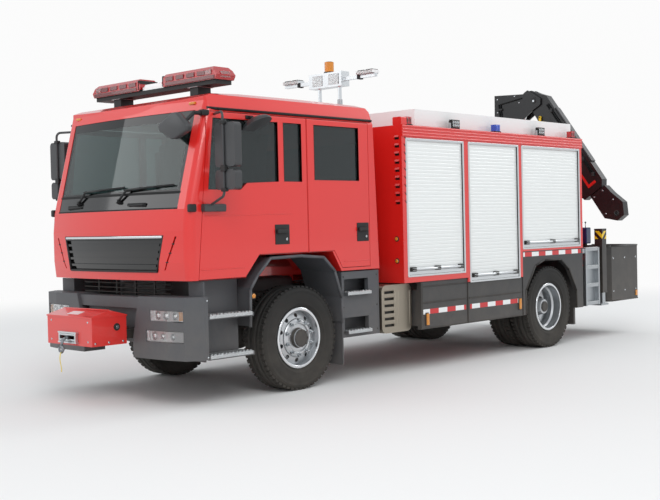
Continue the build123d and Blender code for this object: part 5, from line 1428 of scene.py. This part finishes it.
class TRUCK_OT_stage(bpy.types.Operator):
    """A pale floor, soft studio light and the camera at the photograph's angle"""
    bl_idname = "truck.stage"
    bl_label = "Stage"

    def execute(self, context):
        scene = context.scene
        scene.view_settings.view_transform = "Standard"
        # Fitted camera: where it stands, and its turn, tilt and roll in degrees
        yaw, pitch, roll = (math.radians(a) for a in (223.178, -1.4107, -1.2997))
        ahead = Vector((math.cos(pitch) * math.cos(yaw), math.cos(pitch) * math.sin(yaw), math.sin(pitch)))
        right = ahead.cross(Vector((0, 0, 1))).normalized()
        up = right.cross(ahead)
        rolled_right = math.cos(roll) * right + math.sin(roll) * up
        rolled_up = math.cos(roll) * up - math.sin(roll) * right
        camera = bpy.data.objects.new("camera", bpy.data.cameras.new("camera"))
        scene.collection.objects.link(camera)
        turn = Matrix((rolled_right, rolled_up, -ahead)).transposed().to_4x4()
        camera.matrix_world = Matrix.Translation((10.075, 8.687, 1.659)) @ turn
        camera.data.sensor_width = 36
        camera.data.lens = 58.89
        camera.data.clip_end = 200
        scene.camera = camera

        shape = bmesh.new()
        bmesh.ops.create_grid(shape, x_segments=1, y_segments=1, size=60)
        mesh = bpy.data.meshes.new("studio_floor")
        shape.to_mesh(mesh)
        shape.free()
        floor = bpy.data.objects.new("studio_floor", mesh)
        scene.collection.objects.link(floor)
        pale, shader, place = finish("pale_studio_floor", "#EDEDEC", 0.9)
        # Far from the truck the floor turns into the backdrop's white
        away = add(pale, "ShaderNodeVectorMath", {0: place}, operation="LENGTH").outputs["Value"]
        share = add(pale, "ShaderNodeMapRange", {"Value": away, "From Min": 6.5, "From Max": 15.0},
                    interpolation_type="SMOOTHSTEP")
        white = add(pale, "ShaderNodeEmission", {"Color": linear("#FFFFFF"), "Strength": BACKDROP})
        both = add(pale, "ShaderNodeMixShader", {0: share.outputs["Result"], 1: shader.outputs[0],
                                                 2: white.outputs[0]})
        link(pale, both.outputs[0], pale.node_tree.nodes["Material Output"].inputs["Surface"])
        mesh.materials.append(pale)

        world = bpy.data.worlds.new("studio_light")
        scene.world = world
        world.use_nodes = True
        world.node_tree.nodes.clear()
        rays = add(world, "ShaderNodeLightPath")
        seen = add(world, "ShaderNodeMath", {0: rays.outputs["Is Camera Ray"],
                                             1: rays.outputs["Is Transmission Ray"]},
                   operation="MAXIMUM")
        lighting = add(world, "ShaderNodeBackground", {"Color": linear("#F4F7FA"), "Strength": 0.85})
        backdrop = add(world, "ShaderNodeBackground", {"Color": linear("#FFFFFF"), "Strength": BACKDROP})
        both = add(world, "ShaderNodeMixShader", {0: seen.outputs["Value"], 1: lighting.outputs[0],
                                                  2: backdrop.outputs[0]})
        add(world, "ShaderNodeOutputWorld", {"Surface": both.outputs[0]})

        # Where each soft lamp stands, its power in watts and its width in metres
        lamps = {"key": ((9, 9, 9), 420, 5.0), "fill": ((10, -6, 7), 160, 6.0), "back": ((-9, 4, 8), 240, 5.0)}
        for name, (spot, power, size) in lamps.items():
            lamp = bpy.data.objects.new(name, bpy.data.lights.new(name, "AREA"))
            lamp.data.energy = power
            lamp.data.size = size
            lamp.location = spot
            lamp.rotation_euler = (Vector((0, 0, 1.4)) - Vector(spot)).to_track_quat("-Z", "Y").to_euler()
            scene.collection.objects.link(lamp)
        return {"FINISHED"}


class TRUCK_PT_panel(bpy.types.Panel):
    """Sizes, colours and pieces of the rescue truck"""
    bl_idname = "TRUCK_PT_panel"
    bl_label = "Rescue Truck"
    bl_space_type = "VIEW_3D"
    bl_region_type = "UI"
    bl_category = "Rescue Truck"

    def draw(self, context):
        for group in (context.scene.truck_sizes, context.scene.truck_colours):
            for key in group.__annotations__:
                self.layout.prop(group, key)
        for operator in OPERATORS:
            self.layout.operator(operator.bl_idname)


OPERATORS = [
    TRUCK_OT_finishes, TRUCK_OT_tyres, TRUCK_OT_wheel_nuts, TRUCK_OT_shutters, TRUCK_OT_body_trim,
    TRUCK_OT_louvres, TRUCK_OT_cab_seals, TRUCK_OT_door_trim, TRUCK_OT_front_trim, TRUCK_OT_mirrors,
    TRUCK_OT_head_lamps, TRUCK_OT_warning_lamps, TRUCK_OT_mast, TRUCK_OT_steps, TRUCK_OT_bumper_trim,
    TRUCK_OT_winch, TRUCK_OT_interior, TRUCK_OT_silencer, TRUCK_OT_rear, TRUCK_OT_crane,
    TRUCK_OT_stage,
]
CLASSES = [TruckSizes, TruckColours, *OPERATORS, TRUCK_PT_panel]


def register():
    for made in CLASSES:
        bpy.utils.register_class(made)
    bpy.types.Scene.truck_sizes = PointerProperty(type=TruckSizes)
    bpy.types.Scene.truck_colours = PointerProperty(type=TruckColours)


def unregister():
    del bpy.types.Scene.truck_colours
    del bpy.types.Scene.truck_sizes
    for made in reversed(CLASSES):
        bpy.utils.unregister_class(made)


def main():
    """Build the whole truck."""
    register()
    for operator in OPERATORS:
        group, name = operator.bl_idname.split(".")
        getattr(getattr(bpy.ops, group), name)()


if __name__ == "__main__":
    main()
